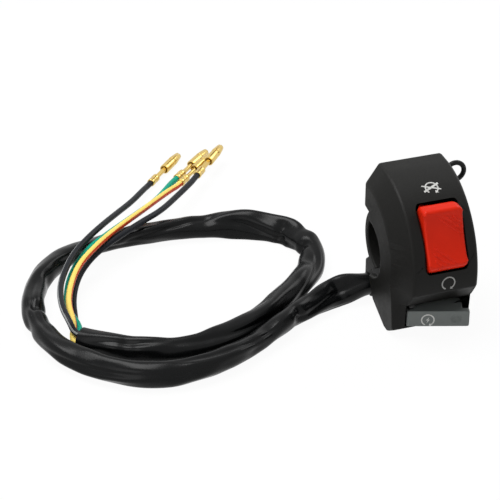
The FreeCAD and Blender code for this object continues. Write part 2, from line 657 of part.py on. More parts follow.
def coil(turns, mean_radius, wire, low, high, clockwise=False):
    """Helical coil along Z between two heights of its wire's outer faces."""
    height = high - low - 2 * wire
    helix = Part.makeHelix(height / turns, height, mean_radius, 0, clockwise)
    start = V(mean_radius, 0, 0)
    section = Part.Wire([Part.makeCircle(wire, start, Y_AXIS)])
    spring = Part.Wire(helix.Edges).makePipeShell([section], True, True)
    spring.translate(V(0, 0, low + wire))
    return spring


def local_placement(x, y, z, axis, turn):
    return FreeCAD.Placement(V(value(x), value(y), value(z)), FreeCAD.Rotation(axis, value(turn)))


def add_feature(label, shape, placement=None):
    feature = doc.addObject("Part::Feature", label)
    feature.Label = label
    feature.Shape = shape
    if placement is not None:
        feature.Placement = placement.multiply(shape.Placement)
    SUB_PARTS.append(feature)
    return feature


def make_detent_spring():
    low = value("tip_length - tip_reach + seat_gap")
    high = value("-bore_floor - seat_gap")
    shape = coil(value("coil_turns"), value("coil_radius"), value("coil_wire"), low, high)
    add_feature("detent_spring", shape,
                local_placement(PIVOT["x"], PIVOT["y"], PIVOT["z"], X_AXIS, "stand_angle + rocker_tilt"))


def make_kill_contact():
    """Sprung seesaw strip under the rocker's plunger, origin in its knuckle on the lower face."""
    body = new_body("kill_contact")
    box(body, "strip_form", ("-seesaw_half_width", "seesaw_half_width"), ("-seesaw_half", "seesaw_half"),
        ("0", "seesaw_thick"))
    rod(body, "strip_knuckle", "X", ("0", "0"), ("-seesaw_half_width", "seesaw_half_width"), "knuckle_radius")
    stand_on_pivot(body, "-seesaw_tilt", drop="seesaw_pivot")


def make_contact_base():
    body = new_body("contact_base")
    box(body, "base_form", ("-base_half_width", "base_half_width"), ("-base_half", "base_half"),
        ("-base_back", "-base_drop"))
    for name, y in (("upper", "rivet_offset"), ("lower", "-rivet_offset")):
        rod(body, f"{name}_rivet_hole", "Z", ("0", y), ("-base_back - cut_over", "-base_drop + cut_over"),
            "rivet_shank + run_gap", cut=True)
    rod(body, "middle_hole", "Z", ("0", "0"), ("-base_back - cut_over", "-base_drop + cut_over"),
        "rivet_shank + run_gap", cut=True)
    for name, x in (("left", "-cheek_in - cheek_wall / 2"), ("right", "cheek_in + cheek_wall / 2")):
        rod(body, f"{name}_screw_hole", "Z", (x, "0"), ("-base_back - cut_over", "-base_drop + cut_over"),
            "base_screw_radius + seat_gap", cut=True)
    stand_on_pivot(body)


def rivet(y, top, head_radius):
    head = Part.makeCylinder(head_radius, top + value("base_drop"), V(0, y, -value("base_drop")))
    shank = Part.makeCylinder(value("rivet_shank"), value("base_thick + rivet_tail"),
                              V(0, y, -value("base_drop")), -Z_AXIS)
    return head.fuse(shank).removeSplitter()


def make_fixed_contacts():
    top = -value("fixed_top") - value("seat_gap")
    pair = [rivet(sign * value("rivet_offset"), top, value("rivet_head")) for sign in (1, -1)]
    placement = local_placement(PIVOT["x"], PIVOT["y"], PIVOT["z"], X_AXIS, "stand_angle")
    add_feature("kill_fixed_contacts", Part.makeCompound(pair), placement)
    post = rivet(0, -value("seesaw_pivot + knuckle_radius + seat_gap"), value("fulcrum_radius"))
    add_feature("contact_fulcrum", post, placement)


def make_base_screws():
    pair = []
    width = value("base_screw_slot")
    for sign in (1, -1):
        x = sign * value("cheek_in + cheek_wall / 2")
        back = V(x, 0, -value("base_back"))
        head = Part.makeCylinder(value("base_screw_head"), value("base_screw_head_height"), back, -Z_AXIS)
        shank = Part.makeCylinder(value("base_screw_radius"), value("base_thick + base_screw_grip"), back)
        slot = Part.makeBox(2 * value("base_screw_head"), width, width)
        slot.translate(V(x - value("base_screw_head"), -width / 2,
                         -value("base_back + base_screw_head_height")))
        pair.append(head.fuse(shank).cut(slot).removeSplitter())
    add_feature("base_screws", Part.makeCompound(pair),
                local_placement(PIVOT["x"], PIVOT["y"], PIVOT["z"], X_AXIS, "stand_angle"))


# Starter lever and its contacts: X along the lever's face, Y inward, origin on the hinge

def stand_on_hinge(body, turn="-lever_yaw"):
    place(body, "-lever_left", "-lever_forward", "0", Z_AXIS, turn)


def make_start_lever():
    body = new_body("start_lever")
    box(body, "face_plate", ("-plate_tail", "plate_reach"), ("-plate_out", "plate_thick - plate_out"),
        ("-lever_bottom", "-lever_top"))
    box(body, "lever_block", ("block_start", "block_end"), ("plate_thick / 2 - plate_out", "block_back"),
        ("block_lift - lever_bottom", "-lever_top"))
    box(body, "hub_web", ("0", "block_start + hub_radius / 2"), ("-hub_radius", "hub_radius"),
        ("-lever_bottom", "-lever_top"))
    rod(body, "lever_hub", "Z", ("0", "0"), ("-lever_bottom", "-lever_top"), "hub_radius")
    rod(body, "lever_hole", "Z", ("0", "0"), ("-lever_bottom - cut_over", "-lever_top + cut_over"),
        "lever_pin_radius + run_gap", cut=True)
    stand_on_hinge(body)


def make_lever_pin():
    body = new_body("lever_pin")
    rod(body, "lever_pin_form", "Z", ("0", "0"),
        ("-recess_floor - lever_pin_foot + seat_gap", "-under_drop + lever_pin_grip - seat_gap"),
        "lever_pin_radius")
    stand_on_hinge(body)


def make_lever_spring():
    low = value("-lever_top + 2 * seat_gap")
    high = low + value("twist_height")
    shape = coil(value("twist_turns"), value("twist_radius"), value("twist_wire"), low, high)
    add_feature("lever_spring", shape, local_placement("-lever_left", "-lever_forward", "0", Z_AXIS, "0"))


def make_start_bridge():
    body = new_body("start_contact_bar")
    box(body, "bar_form", ("bridge_start", "bridge_end"), ("block_back", "block_back + bridge_thick"),
        ("-bridge_bottom", "-bridge_top"))
    stand_on_hinge(body)


def make_starter_block():
    body = new_body("start_contact_block")
    box(body, "block_form", ("bridge_start - starter_margin", "bridge_end + starter_margin"),
        ("starter_face", "starter_face + starter_thick"), ("-recess_floor", "-starter_top"))
    stand_on_hinge(body, "pressed_yaw")
    studs = []
    middle = -(value("bridge_top") + value("bridge_bottom")) / 2
    for x in (value("bridge_start + stud_inset"), value("bridge_end - stud_inset")):
        stud = Part.makeCylinder(value("stud_radius"), value("stud_height"),
                                 V(x, value("studs_face"), middle), Y_AXIS)
        studs.append(stud)
    add_feature("start_fixed_contacts", Part.makeCompound(studs),
                local_placement("-lever_left", "-lever_forward", "0", Z_AXIS, "pressed_yaw"))


# Cable: grommet, leads inside, sleeve and wires outside

def make_grommet():
    body = new_body("cable_grommet")
    centre = ("duct_back", "-duct_drop")
    rod(body, "grommet_body", "X", centre, ("-half_clamp", "grommet_depth - half_clamp"),
        "duct_radius - seat_gap")
    rod(body, "grommet_collar", "X", centre, ("-half_clamp - grommet_flange", "-half_clamp"),
        "duct_radius + grommet_lip")
    rod(body, "grommet_hole", "X", centre,
        ("-half_clamp - grommet_flange - cut_over", "grommet_depth - half_clamp + cut_over"),
        "grommet_bore", cut=True)


FILLET_SHARE = 0.45


def fillet_radius(before, corner, after):
    """Largest tangent arc that two runs leave room for."""
    turn = (corner - before).getAngle(after - corner)
    shorter = min((corner - before).Length, (after - corner).Length)
    return FILLET_SHARE * shorter / math.tan(turn / 2)


def route_wire(points):
    """Straight runs joined by tangent arcs, with the arcs' radii."""
    edges, radii = [], []
    start = points[0]
    for before, corner, after in zip(points, points[1:], points[2:]):
        radius = fillet_radius(before, corner, after)
        radii.append(radius)
        incoming = (corner - before).normalize()
        outgoing = (after - corner).normalize()
        turn = incoming.getAngle(outgoing)
        setback = radius * math.tan(turn / 2)
        arc_start = corner - incoming * setback
        arc_end = corner + outgoing * setback
        inward = (outgoing - incoming).normalize()
        middle = corner + inward * (radius / math.cos(turn / 2) - radius)
        edges.append(Part.LineSegment(start, arc_start).toShape())
        edges.append(Part.Arc(arc_start, middle, arc_end).toShape())
        start = arc_end
    edges.append(Part.LineSegment(start, points[-1]).toShape())
    return Part.Wire(edges), radii


def tube(label, points, radius):
    path, radii = route_wire(points)
    direction = points[1] - points[0]
    section = Part.Wire([Part.makeCircle(radius, points[0], direction)])
    shape = path.makePipeShell([section], True, False)
    ratio = shape.Volume / (math.pi * radius ** 2 * path.Length)
    print(f"{label}: length {path.Length:.1f}, volume ratio {ratio:.4f}, radii",
          " ".join(f"{item:.1f}" for item in radii))
    return shape


def floor_points(route):
    """Route points given as X, Y and height above the floor."""
    floor = value("floor_z")
    return [V(x, y, floor + height) for x, y, height in route]


SLEEVE_ROUTE = [
    (-14.6, 4.0, 5.8), (-26, 4.0, 5.8), (-41, -1.4, 4.6), (-57, -11.5, 4.2), (-75, -22.0, 4.2),
    (-94, -28.2, 4.2), (-112, -25, 4.2), (-127, -13, 4.2), (-137, 2.5, 4.2), (-140, 21, 4.2),
    (-136, 40.5, 4.2), (-123.5, 58, 4.2), (-105, 66.5, 4.2), (-85, 68.4, 4.2), (-64, 66.4, 4.2),
    (-45, 60.8, 4.2), (-31.5, 52.5, 4.2), (-25.5, 40, 4.2), (-28.5, 26.5, 4.2), (-39.5, 13, 4.2),
    (-55, 0, 4.2), (-72, -9.3, 4.2), (-91, -14.2, 4.2), (-107, -11.2, 4.2), (-118.5, -3.6, 4.2),
    (-126.5, 4.2, 4.2),
]

WIRE_ROUTES = {
    "wire_black_white": [
        (-126.6, 4.1, 6.6), (-128.5, 5.9, 6.6), (-129.4, 8.4, 10), (-130.2, 16.8, 11.1),
        (-127.7, 30.6, 10.7), (-122.7, 41.7, 11.1), (-116.6, 51.3, 11.8), (-109.4, 59.7, 11.7),
        (-101.2, 69.3, 10.4), (-92.1, 80.5, 7.8), (-82.7, 92, 5), (-74.9, 102.8, 3),
        (-72.3, 106.5, 2), (-70.1, 108.8, 2)],
    "wire_green": [
        (-124.9, 5.8, 4.5), (-126.8, 7.7, 4.3), (-124.4, 13.7, 3.2), (-126.2, 26.4, 3.9),
        (-122.8, 39.8, 4.7), (-117.2, 49.3, 6.8), (-110.3, 55.8, 9.3), (-102.1, 60.8, 10.7),
        (-93, 68.8, 9.8), (-82.7, 79.9, 7.1), (-72.2, 91.5, 4.3), (-63.6, 103.3, 2.8),
        (-61.2, 106.8, 2), (-58.9, 109, 2)],
    "wire_yellow_red": [
        (-128, 2.7, 3.8), (-129.9, 4.6, 3.7), (-127, 11.6, 6.6), (-126.8, 22, 8.7),
        (-122.4, 34.2, 9.5), (-116.7, 44, 10.8), (-109.4, 50.8, 12.2), (-101.6, 57.8, 12.7),
        (-92.6, 66.4, 11.6), (-83, 76.6, 9.3), (-72.9, 88, 6.7), (-64.5, 97.2, 4.5),
        (-61.5, 100, 3.6), (-59.2, 102.3, 3.6)],
    "wire_black": [
        (-125.9, 4.8, 2.4), (-127.7, 6.7, 2.4), (-124.3, 21.4, 0.7), (-122.3, 33.6, 2.2),
        (-117.8, 43.6, 4.9), (-111.3, 50.4, 7.7), (-103.4, 55.2, 10), (-95, 59.5, 11.2),
        (-85.7, 66, 11.1), (-75.9, 73.4, 9.9), (-66, 84.4, 8.6), (-57, 94.6, 7.6),
        (-54.8, 97.7, 7.2), (-52.7, 100.2, 7.2)],
}

TERMINALS = {
    "wire_black_white": ("terminal_black_white", 46.7),
    "wire_green": ("terminal_green", 44),
    "wire_yellow_red": ("terminal_yellow_red", 45),
    "wire_black": ("terminal_black", 50),
}


def make_terminal(label, position, yaw):
    """Brass bullet terminal: ferrule, neck, grooved bullet with a rounded tip."""
    body = new_body(label)
    collar = "crimp_length + neck_length"
    end = "terminal_length"
    groove = f"{collar} + groove_start"
    profile = outline(body, "terminal_outline", [
        ("0", "0"),
        (end, "0"),
        (end, "bullet_radius - bullet_nose"),
        (f"{end} - bullet_nose", "bullet_radius"),
        (f"{groove} + groove_length", "bullet_radius"),
        (f"{groove} + groove_length", "bullet_radius - groove_depth"),
        (groove, "bullet_radius - groove_depth"),
        (groove, "bullet_radius"),
        (collar, "bullet_radius"),
        (collar, "neck_radius"),
        ("crimp_length", "neck_radius"),
        ("crimp_length", "crimp_radius"),
        ("0", "crimp_radius"),
    ], plane="XY_Plane")
    turned = body.newObject("PartDesign::Revolution", "terminal_form")
    turned.Profile = profile
    turned.ReferenceAxis = (profile, ["H_Axis"])
    turned.Angle = 360
    body.Placement = FreeCAD.Placement(position, FreeCAD.Rotation(Z_AXIS, yaw))


def make_cords():
    sleeve_points = floor_points(SLEEVE_ROUTE)
    sleeve_points[0] = V(value("-half_clamp - grommet_flange"), value("duct_back"), value("-duct_drop"))
    add_feature("harness_sleeve", tube("harness_sleeve", sleeve_points, value("sleeve_radius")))
    for label, route in WIRE_ROUTES.items():
        points = floor_points(route)
        add_feature(label, tube(label, points, value("wire_radius")))
        terminal, yaw = TERMINALS[label]
        make_terminal(terminal, points[-1], yaw)


def make_inner_leads():
    """Four insulated leads from the grommet, through the duct, up to the contact base."""
    spread = value("lead_spread")
    duct_y, middle_z = value("duct_back"), -value("(channel_drop + channel_top) / 2")
    turn_x = value("channel_width / 2 - channel_left")
    front_y = -value("seat_radius + lead_behind")
    top_z = value("lead_rise - shelf_drop")
    leads = []
    for column in (-1, 1):
        for level in (-1, 1):
            x = turn_x + column * spread
            z = middle_z + level * spread
            y = duct_y + column * spread
            front = front_y + level * spread
            points = [V(value("grommet_depth - half_clamp"), y, z), V(x, y, z), V(x, front, z),
                      V(x, front, top_z)]
            leads.append(tube("inner lead", points, value("lead_radius")))
    add_feature("inner_leads", Part.makeCompound(leads))


def check_and_write():
    """Refuse failed objects and bad shapes, then write one STEP file per sub-part."""
    doc.recompute()
    faults = []
    for item in doc.Objects:
        if "Invalid" in item.State or "Error" in item.State:
            faults.append(f"{item.Label}: {item.State}")
    for part in SUB_PARTS:
        if part.Shape.isNull() or not part.Shape.isValid():
            faults.append(f"{part.Label}: shape null or not valid")
    if faults:
        raise RuntimeError("; ".join(faults))
    os.makedirs("parts", exist_ok=True)
    for part in SUB_PARTS:
        part.Shape.exportStep(f"parts/{part.Label}.step")
        print(f"{part.Label}: {len(part.Shape.Solids)} solids, {part.Shape.Volume:.1f} mm3")


make_front_housing()
make_rear_clamp()
make_bar_saddle()
add_feature("clamp_screws", Part.makeCompound(clamp_screws()))
add_feature("thread_inserts", Part.makeCompound(thread_inserts()))
make_cable_guide()
make_rocker_pin()
make_kill_rocker()
make_detent_plunger()
make_detent_spring()
make_kill_contact()
make_contact_base()
make_fixed_contacts()
make_base_screws()
make_start_lever()
make_lever_pin()
make_lever_spring()
make_start_bridge()
make_starter_block()
make_grommet()
make_inner_leads()
make_cords()
check_and_write()
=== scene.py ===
import contextlib
import math

import bmesh
import bpy
from mathutils import Matrix, Vector, noise
from mathutils.bvhtree import BVHTree


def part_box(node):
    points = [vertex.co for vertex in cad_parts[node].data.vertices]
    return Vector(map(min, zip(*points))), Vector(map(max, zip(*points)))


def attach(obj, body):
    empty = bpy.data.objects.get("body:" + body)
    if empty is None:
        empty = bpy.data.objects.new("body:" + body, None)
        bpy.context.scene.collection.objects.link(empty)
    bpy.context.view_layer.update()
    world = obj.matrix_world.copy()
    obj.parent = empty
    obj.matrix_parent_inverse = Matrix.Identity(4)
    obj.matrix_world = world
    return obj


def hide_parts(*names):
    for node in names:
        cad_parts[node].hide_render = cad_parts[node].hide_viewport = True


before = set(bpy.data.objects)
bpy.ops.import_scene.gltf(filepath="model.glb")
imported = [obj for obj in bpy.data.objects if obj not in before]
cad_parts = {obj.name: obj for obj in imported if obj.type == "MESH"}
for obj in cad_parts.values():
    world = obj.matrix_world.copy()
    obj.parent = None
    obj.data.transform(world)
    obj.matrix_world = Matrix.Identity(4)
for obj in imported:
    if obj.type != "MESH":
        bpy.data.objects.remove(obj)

bl_info = {
    "name": "Handlebar kill switch",
    "version": (1, 0, 0),
    "blender": (4, 5, 0),
    "location": "View3D > Sidebar > Switch",
    "description": "Kill rocker and starter lever in a clamp housing, with its sleeved lead",
    "category": "Add Mesh",
}

MM = 0.001
UP = Vector((0, 0, 1))
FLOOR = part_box("front_housing")[0].z

# Places on the switch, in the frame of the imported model

BAR_TO_FRONT = 32.3 * MM
ROCKER_MIDDLE = 0.9 * MM
ROCKER_ANGLE = math.radians(32.6)
ROCKER_TILT = math.radians(10)
PIVOT_RADIUS = 28.3 * MM
LEVER_HINGE = Vector((-9.2, -23.5, 0)) * MM
LEVER_YAW = math.radians(-18)
LEVER_FACE = 3.2 * MM
LEVER_MIDDLE = -16.5 * MM
DIMPLE_ALONG = 16.5 * MM
DIMPLE_DEPTH = 0.8 * MM
MARK_MIDDLE = 1.25 * MM
STOP_ANGLE = math.atan2(29.4, 13)
RUN_ANGLE = math.atan2(0.4, 32.3)
START_ALONG = 6.15 * MM
START_DROP = 0.35 * MM


# Sizes and colours

def length(name, description, default):
    return bpy.props.FloatProperty(name=name, description=description, default=default,
                                   subtype="DISTANCE", unit="LENGTH", precision=5)


def colour(name, description, default):
    return bpy.props.FloatVectorProperty(name=name, description=description, default=default,
                                         size=3, subtype="COLOR", min=0, max=1)


class HousingSettings(bpy.types.PropertyGroup):
    edge_round: length("Edge round", "Rounding of the housing's outer edges", 0.9 * MM)
    clamp_round: length("Clamp round", "Rounding of the rear clamp's edges", 0.6 * MM)
    grain: length("Grain", "Size of the moulded texture's grains", 0.32 * MM)
    black: colour("Black", "Colour of the moulded black plastic", (0.0045, 0.0044, 0.0038))
    print_white: colour("Print", "Colour of the printed symbols", (0.62, 0.62, 0.6))


class RockerSettings(bpy.types.PropertyGroup):
    edge_round: length("Edge round", "Rounding of the rocker's edges", 1.0 * MM)
    corner_round: length("Corner round", "Rounding of the rocker's upright corners", 2.4 * MM)
    rib_height: length("Rib height", "Height of the diagonal grip lines", 0.3 * MM)
    rib_width: length("Rib width", "Width of the diagonal grip lines", 0.85 * MM)
    red: colour("Red", "Colour of the rocker", (0.63, 0.018, 0.004))


class LeverSettings(bpy.types.PropertyGroup):
    edge_round: length("Edge round", "Rounding of the lever's edges", 0.7 * MM)
    dimple_radius: length("Dimple", "Radius of the round dimple in the lever", 1.9 * MM)
    grey: colour("Grey", "Colour of the lever", (0.135, 0.147, 0.142))


class HarnessSettings(bpy.types.PropertyGroup):
    girth: length("Sleeve girth", "Length round the soft sleeve", 28.4 * MM)
    fold: length("Sleeve folds", "Depth of the sleeve's long folds", 0.85 * MM)
    wire: length("Wire", "Diameter of a lead over its insulation", 2.4 * MM)
    vinyl: colour("Vinyl", "Colour of the sleeve", (0.003, 0.0032, 0.0034))
    green: colour("Green", "Colour of the green lead", (0.0, 0.3, 0.2))
    yellow: colour("Yellow", "Colour of the yellow lead", (0.9, 0.68, 0.16))
    red: colour("Red stripe", "Stripe on the yellow lead", (0.6, 0.065, 0.014))
    white: colour("White stripe", "Stripe on the first black lead", (0.28, 0.29, 0.29))
    brass: colour("Brass", "Colour of the terminals", (0.83, 0.6, 0.2))


class StageSettings(bpy.types.PropertyGroup):
    floor: colour("Floor", "Colour of the floor", (0.9, 0.9, 0.9))
    whiteness: bpy.props.FloatProperty(
        name="Whiteness", description="Share of plain white that the camera sees in the floor",
        default=0.95, min=0, max=1, subtype="FACTOR")
    key: bpy.props.FloatProperty(
        name="Key", description="Power of the large soft lamp", default=6.4, min=0, unit="POWER")
    room: bpy.props.FloatProperty(
        name="Room", description="Strength of the room's even light", default=0.3, min=0)


GROUPS = {
    "housing": HousingSettings,
    "rocker": RockerSettings,
    "lever": LeverSettings,
    "harness": HarnessSettings,
    "stage": StageSettings,
}


def settings(name):
    return getattr(bpy.context.scene, f"switch_{name}")


# Materials

class Value:
    """A node's output on which plain arithmetic adds Math nodes."""

    def __init__(self, nodes, socket):
        self.nodes = nodes
        self.socket = socket

    def math(self, operation, first, second):
        return self.nodes.node("ShaderNodeMath", inputs={0: first, 1: second},
                               operation=operation)

    def __add__(self, other):
        return self.math("ADD", self, other)

    def __sub__(self, other):
        return self.math("SUBTRACT", self, other)

    def __rsub__(self, other):
        return self.math("SUBTRACT", other, self)

    def __mul__(self, other):
        return self.math("MULTIPLY", self, other)

    def __gt__(self, other):
        return self.math("GREATER_THAN", self, other)

    def __lt__(self, other):
        return self.math("LESS_THAN", self, other)

    __radd__ = __add__
    __rmul__ = __mul__


class Nodes:
    """Node tree of a material or of the world."""

    def __init__(self, tree):
        self.tree = tree

    def node(self, kind, inputs=None, out=0, stops=None, **options):
        node = self.tree.nodes.new(kind)
        for name, option in options.items():
            setattr(node, name, option)
        if stops:
            ramp = node.color_ramp
            while len(ramp.elements) < len(stops):
                ramp.elements.new(0.5)
            for element, (position, shade) in zip(ramp.elements, stops):
                element.position = position
                element.color = (*shade, 1)
        for name, given in (inputs or {}).items():
            self.feed(node.inputs[name], given)
        return Value(self, node.outputs[out])

    def feed(self, socket, given):
        if isinstance(given, Value):
            self.tree.links.new(given.socket, socket)
        elif hasattr(given, "__len__") and len(given) == 3 and len(socket.default_value) == 4:
            socket.default_value = (*given, 1)
        else:
            socket.default_value = given

    def ray(self, kind):
        """1 where a ray of this kind looks, otherwise 0."""
        return self.node("ShaderNodeLightPath", out=f"Is {kind} Ray")


class Finish(Nodes):
    """One material and its nodes."""

    def __init__(self, name, **constants):
        self.material = bpy.data.materials.new(name)
        self.material.use_nodes = True
        super().__init__(self.material.node_tree)
        self.shader = self.tree.nodes["Principled BSDF"]
        self.set(**constants)

    def set(self, **values):
        for name, given in values.items():
            title = name.replace("_", " ").title().replace("Ior", "IOR")
            self.feed(self.shader.inputs[title], given)

    def place(self, stretch=(1, 1, 1), source="Object"):
        spot = self.node("ShaderNodeTexCoord", out=source)
        return self.node("ShaderNodeMapping", inputs={"Vector": spot, "Scale": stretch})

    def cloud(self, scale, detail=3, place=None, rough=0.5):
        return self.node("ShaderNodeTexNoise", inputs={
            "Vector": place or self.place(), "Scale": scale, "Detail": detail, "Roughness": rough})

    def cells(self, scale):
        return self.node("ShaderNodeTexVoronoi", inputs={"Vector": self.place(), "Scale": scale})

    def blend(self, share, first, second):
        return self.node("ShaderNodeMix", data_type="RGBA", out=2,
                         inputs={0: share, 6: first, 7: second})

    def shades(self, share, shade, low, high):
        """Blend between two strengths of one colour."""
        return self.blend(share, darker(shade, low), darker(shade, high))

    def bump(self, height, distance):
        self.set(normal=self.node("ShaderNodeBump",
                                  inputs={"Height": height, "Distance": distance}))


def darker(shade, factor):
    return tuple(part * factor for part in shade)


def swing(cloud, depth):
    """A cloud's ups and downs about its middle, at a chosen depth."""
    return (cloud - 0.5) * depth


def moulded_plastic(name, shade, grain, rough=0.5, speckle=0.25, bump=0.04 * MM):
    """Matte moulded plastic: fine spark-eroded grain, faint scuffs and uneven gloss."""
    finish = Finish(name, specular_ior_level=0.15)
    grains = finish.cells(0.9 / grain)
    fine = finish.cloud(1.6 / grain, detail=2)
    scuffs = finish.cloud(260, detail=6, rough=0.7)
    patches = finish.cloud(45, detail=2)
    mottled = swing(fine, speckle) + swing(scuffs, 0.3) + swing(patches, 0.3) + 0.5
    finish.set(base_color=finish.shades(mottled, shade, 0.7, 1.35))
    finish.set(roughness=swing(patches, 0.2) + swing(scuffs, 0.22) + rough)
    finish.bump(grains * 0.6 + fine * 0.5, bump)
    return finish.material


def rocker_red():
    """Smooth red plastic with a thin sheen and slight wear."""
    shade = settings("rocker").red
    finish = Finish("rocker_red", specular_ior_level=0.1, coat_roughness=0.2)
    swirl = finish.cloud(120, detail=3)
    dust = finish.cloud(2400, detail=2)
    wear = finish.cloud(420, detail=6, rough=0.75)
    finish.set(base_color=finish.shades(swirl * 0.6 + dust * 0.3, shade, 0.86, 1.12))
    finish.set(roughness=swing(wear, 0.25) + 0.38, coat_weight=swing(swirl, 0.08) + 0.05)
    finish.bump(dust * 0.4 + wear * 0.6, 0.012 * MM)
    return finish.material


def printed_ink(name, strength):
    """White print that is a little thin in places."""
    shade = darker(settings("housing").print_white, strength)
    finish = Finish(name)
    pores = finish.cloud(5200, detail=3)
    thin = finish.cloud(900, detail=5, rough=0.7)
    cover = finish.node("ShaderNodeValToRGB", inputs={"Fac": thin * 0.6 + pores * 0.4},
                        stops=[(0.38, (0, 0, 0)), (0.6, (1, 1, 1))])
    finish.set(base_color=finish.shades(cover, shade, 0.6, 1))
    finish.set(roughness=swing(pores, 0.3) + 0.6)
    finish.bump(pores, 0.01 * MM)
    return finish.material


def sleeve_vinyl():
    """Glossy soft vinyl with drawn lines along it and dull handling marks."""
    shade = settings("harness").vinyl
    finish = Finish("sleeve_vinyl", specular_ior_level=0.13)
    lines = finish.cloud(1, detail=3, place=finish.place((45, 4, 1), "UV"))
    marks = finish.cloud(170, detail=6, rough=0.7)
    dust = finish.cloud(2600, detail=3)
    finish.set(base_color=finish.shades(marks * 0.7 + dust * 0.3, shade, 0.7, 1.6))
    finish.set(roughness=swing(marks, 0.22) + swing(dust, 0.08) + 0.25)
    finish.bump(lines * 0.8 + marks * 0.2, 0.12 * MM)
    return finish.material


def lead_insulation(name, shade, stripe=None, stripe_from=0.0, stripe_to=0.0):
    """Satin wire insulation, with a coloured stripe along it where there is one."""
    finish = Finish(name, specular_ior_level=0.12)
    smudge = finish.cloud(300, detail=5, rough=0.7)
    fine = finish.cloud(3000, detail=2)
    body = finish.shades(smudge * 0.7 + fine * 0.3, shade, 0.78, 1.15)
    if stripe is not None:
        around = finish.node("ShaderNodeSeparateXYZ", out=1,
                             inputs={"Vector": finish.node("ShaderNodeTexCoord", out="UV")})
        waver = swing(smudge, 0.03)
        inside = (around + waver > stripe_from) * (around + waver < stripe_to)
        body = finish.blend(inside, body, stripe)
    finish.set(base_color=body, roughness=swing(smudge, 0.25) + 0.38)
    finish.bump(smudge * 0.6 + fine * 0.4, 0.03 * MM)
    return finish.material


def metal(name, shade, rough, scratch, bump=0.012 * MM):
    """Bare metal with fine scratches and a little tarnish."""
    finish = Finish(name, metallic=1.0)
    scratches = finish.cloud(1, detail=5, place=finish.place(scratch))
    stains = finish.cloud(380, detail=5, rough=0.65)
    finish.set(base_color=finish.shades(stains * 0.35 + scratches * 0.3, shade, 1, 0.5))
    finish.set(roughness=swing(stains, 0.3) + swing(scratches, 0.2) + rough)
    finish.bump(scratches, bump)
    return finish.material


def laminate():
    """Brown board with fibres that show."""
    finish = Finish("laminate_brown", specular_ior_level=0.4)
    fibres = finish.cloud(1, detail=4, place=finish.place((2600, 500, 2600)))
    layers = finish.cloud(500, detail=3)
    finish.set(base_color=finish.blend(fibres, (0.16, 0.08, 0.03), (0.33, 0.19, 0.08)))
    finish.set(roughness=swing(layers, 0.2) + 0.5)
    finish.bump(fibres, 0.02 * MM)
    return finish.material


# Shaping helpers

def add_object(name, data):
    piece = bpy.data.objects.new(name, data)
    bpy.context.scene.collection.objects.link(piece)
    return piece


def select_only(piece):
    bpy.ops.object.select_all(action="DESELECT")
    piece.select_set(True)
    bpy.context.view_layer.objects.active = piece


@contextlib.contextmanager
def edit_mode(piece):
    """Edit mode with all of a piece selected."""
    select_only(piece)
    bpy.ops.object.mode_set(mode="EDIT")
    bpy.ops.mesh.select_all(action="SELECT")
    yield
    bpy.ops.object.mode_set(mode="OBJECT")


def apply_modifier(piece, kind, **options):
    select_only(piece)
    modifier = piece.modifiers.new(kind.lower(), kind)
    for name, option in options.items():
        setattr(modifier, name, option)
    bpy.ops.object.modifier_apply(modifier=modifier.name)


def cad_copy(node, name):
    """Merged copy of a CAD node's mesh, with its flat faces whole."""
    piece = add_object(name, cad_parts[node].data.copy())
    piece.data.materials.clear()
    select_only(piece)
    bpy.ops.mesh.customdata_custom_splitnormals_clear()
    with edit_mode(piece):
        bpy.ops.mesh.remove_doubles(threshold=0.002 * MM)
        bpy.ops.mesh.dissolve_limited(angle_limit=math.radians(0.8))
    return piece


SHARP = math.radians(28)  # edges that turn by less are left as they are
OFF_EDGE = 0.05  # start of the look outward, in millimetres off the edge
UNDER_FACE, PAST_EDGE = 0.12, 0.02  # start of the look inward, in millimetres
LOOK_OUT = 60 * MM
LOOK_IN = 20 * MM
THIN_SHARE = 0.42  # of the wall beside an edge, that its rounding may take


def outside_edges(grid, tree):
    """Sharp ridges with nothing in front of them."""
    edges = []
    for edge in grid.edges:
        if not (edge.is_manifold and edge.is_convex and edge.calc_face_angle() > SHARP):
            continue
        outward = (edge.link_faces[0].normal + edge.link_faces[1].normal).normalized()
        middle = (edge.verts[0].co + edge.verts[1].co) / 2
        if tree.ray_cast(middle + outward * OFF_EDGE * MM, outward, LOOK_OUT)[0] is None:
            edges.append(edge)
    return edges


def solid_depth(edge, face, tree):
    """How far the solid runs on under a face, straight away from one of its edges."""
    middle = (edge.verts[0].co + edge.verts[1].co) / 2
    along = (edge.verts[1].co - edge.verts[0].co).normalized()
    inward = face.normal.cross(along)
    if inward.dot(face.calc_center_median() - middle) < 0:
        inward = -inward
    start = middle - face.normal * UNDER_FACE * MM + inward * PAST_EDGE * MM
    distance = tree.ray_cast(start, inward, LOOK_IN)[3]
    return LOOK_IN if distance is None else distance


def round_edges(piece, width, segments=3):
    """Bevel the outer edges, less wherever the wall beside them is thin."""
    grid = bmesh.new()
    grid.from_mesh(piece.data)
    tree = BVHTree.FromBMesh(grid)
    weights = grid.edges.layers.float.new("bevel_weight_edge")
    for edge in outside_edges(grid, tree):
        space = min(solid_depth(edge, face, tree) for face in edge.link_faces)
        edge[weights] = min(1.0, THIN_SHARE * space / width)
    grid.to_mesh(piece.data)
    grid.free()
    apply_modifier(piece, "BEVEL", width=width, segments=segments, limit_method="WEIGHT",
                   use_clamp_overlap=False, miter_outer="MITER_ARC")


def smooth(piece, angle):
    select_only(piece)
    bpy.ops.object.shade_smooth_by_angle(angle=math.radians(angle))


def even_shading(piece, angle=35):
    """Smooth a piece and let its large faces rule the shading beside their rounded edges."""
    smooth(piece, angle)
    apply_modifier(piece, "WEIGHTED_NORMAL", weight=100, keep_sharp=True)


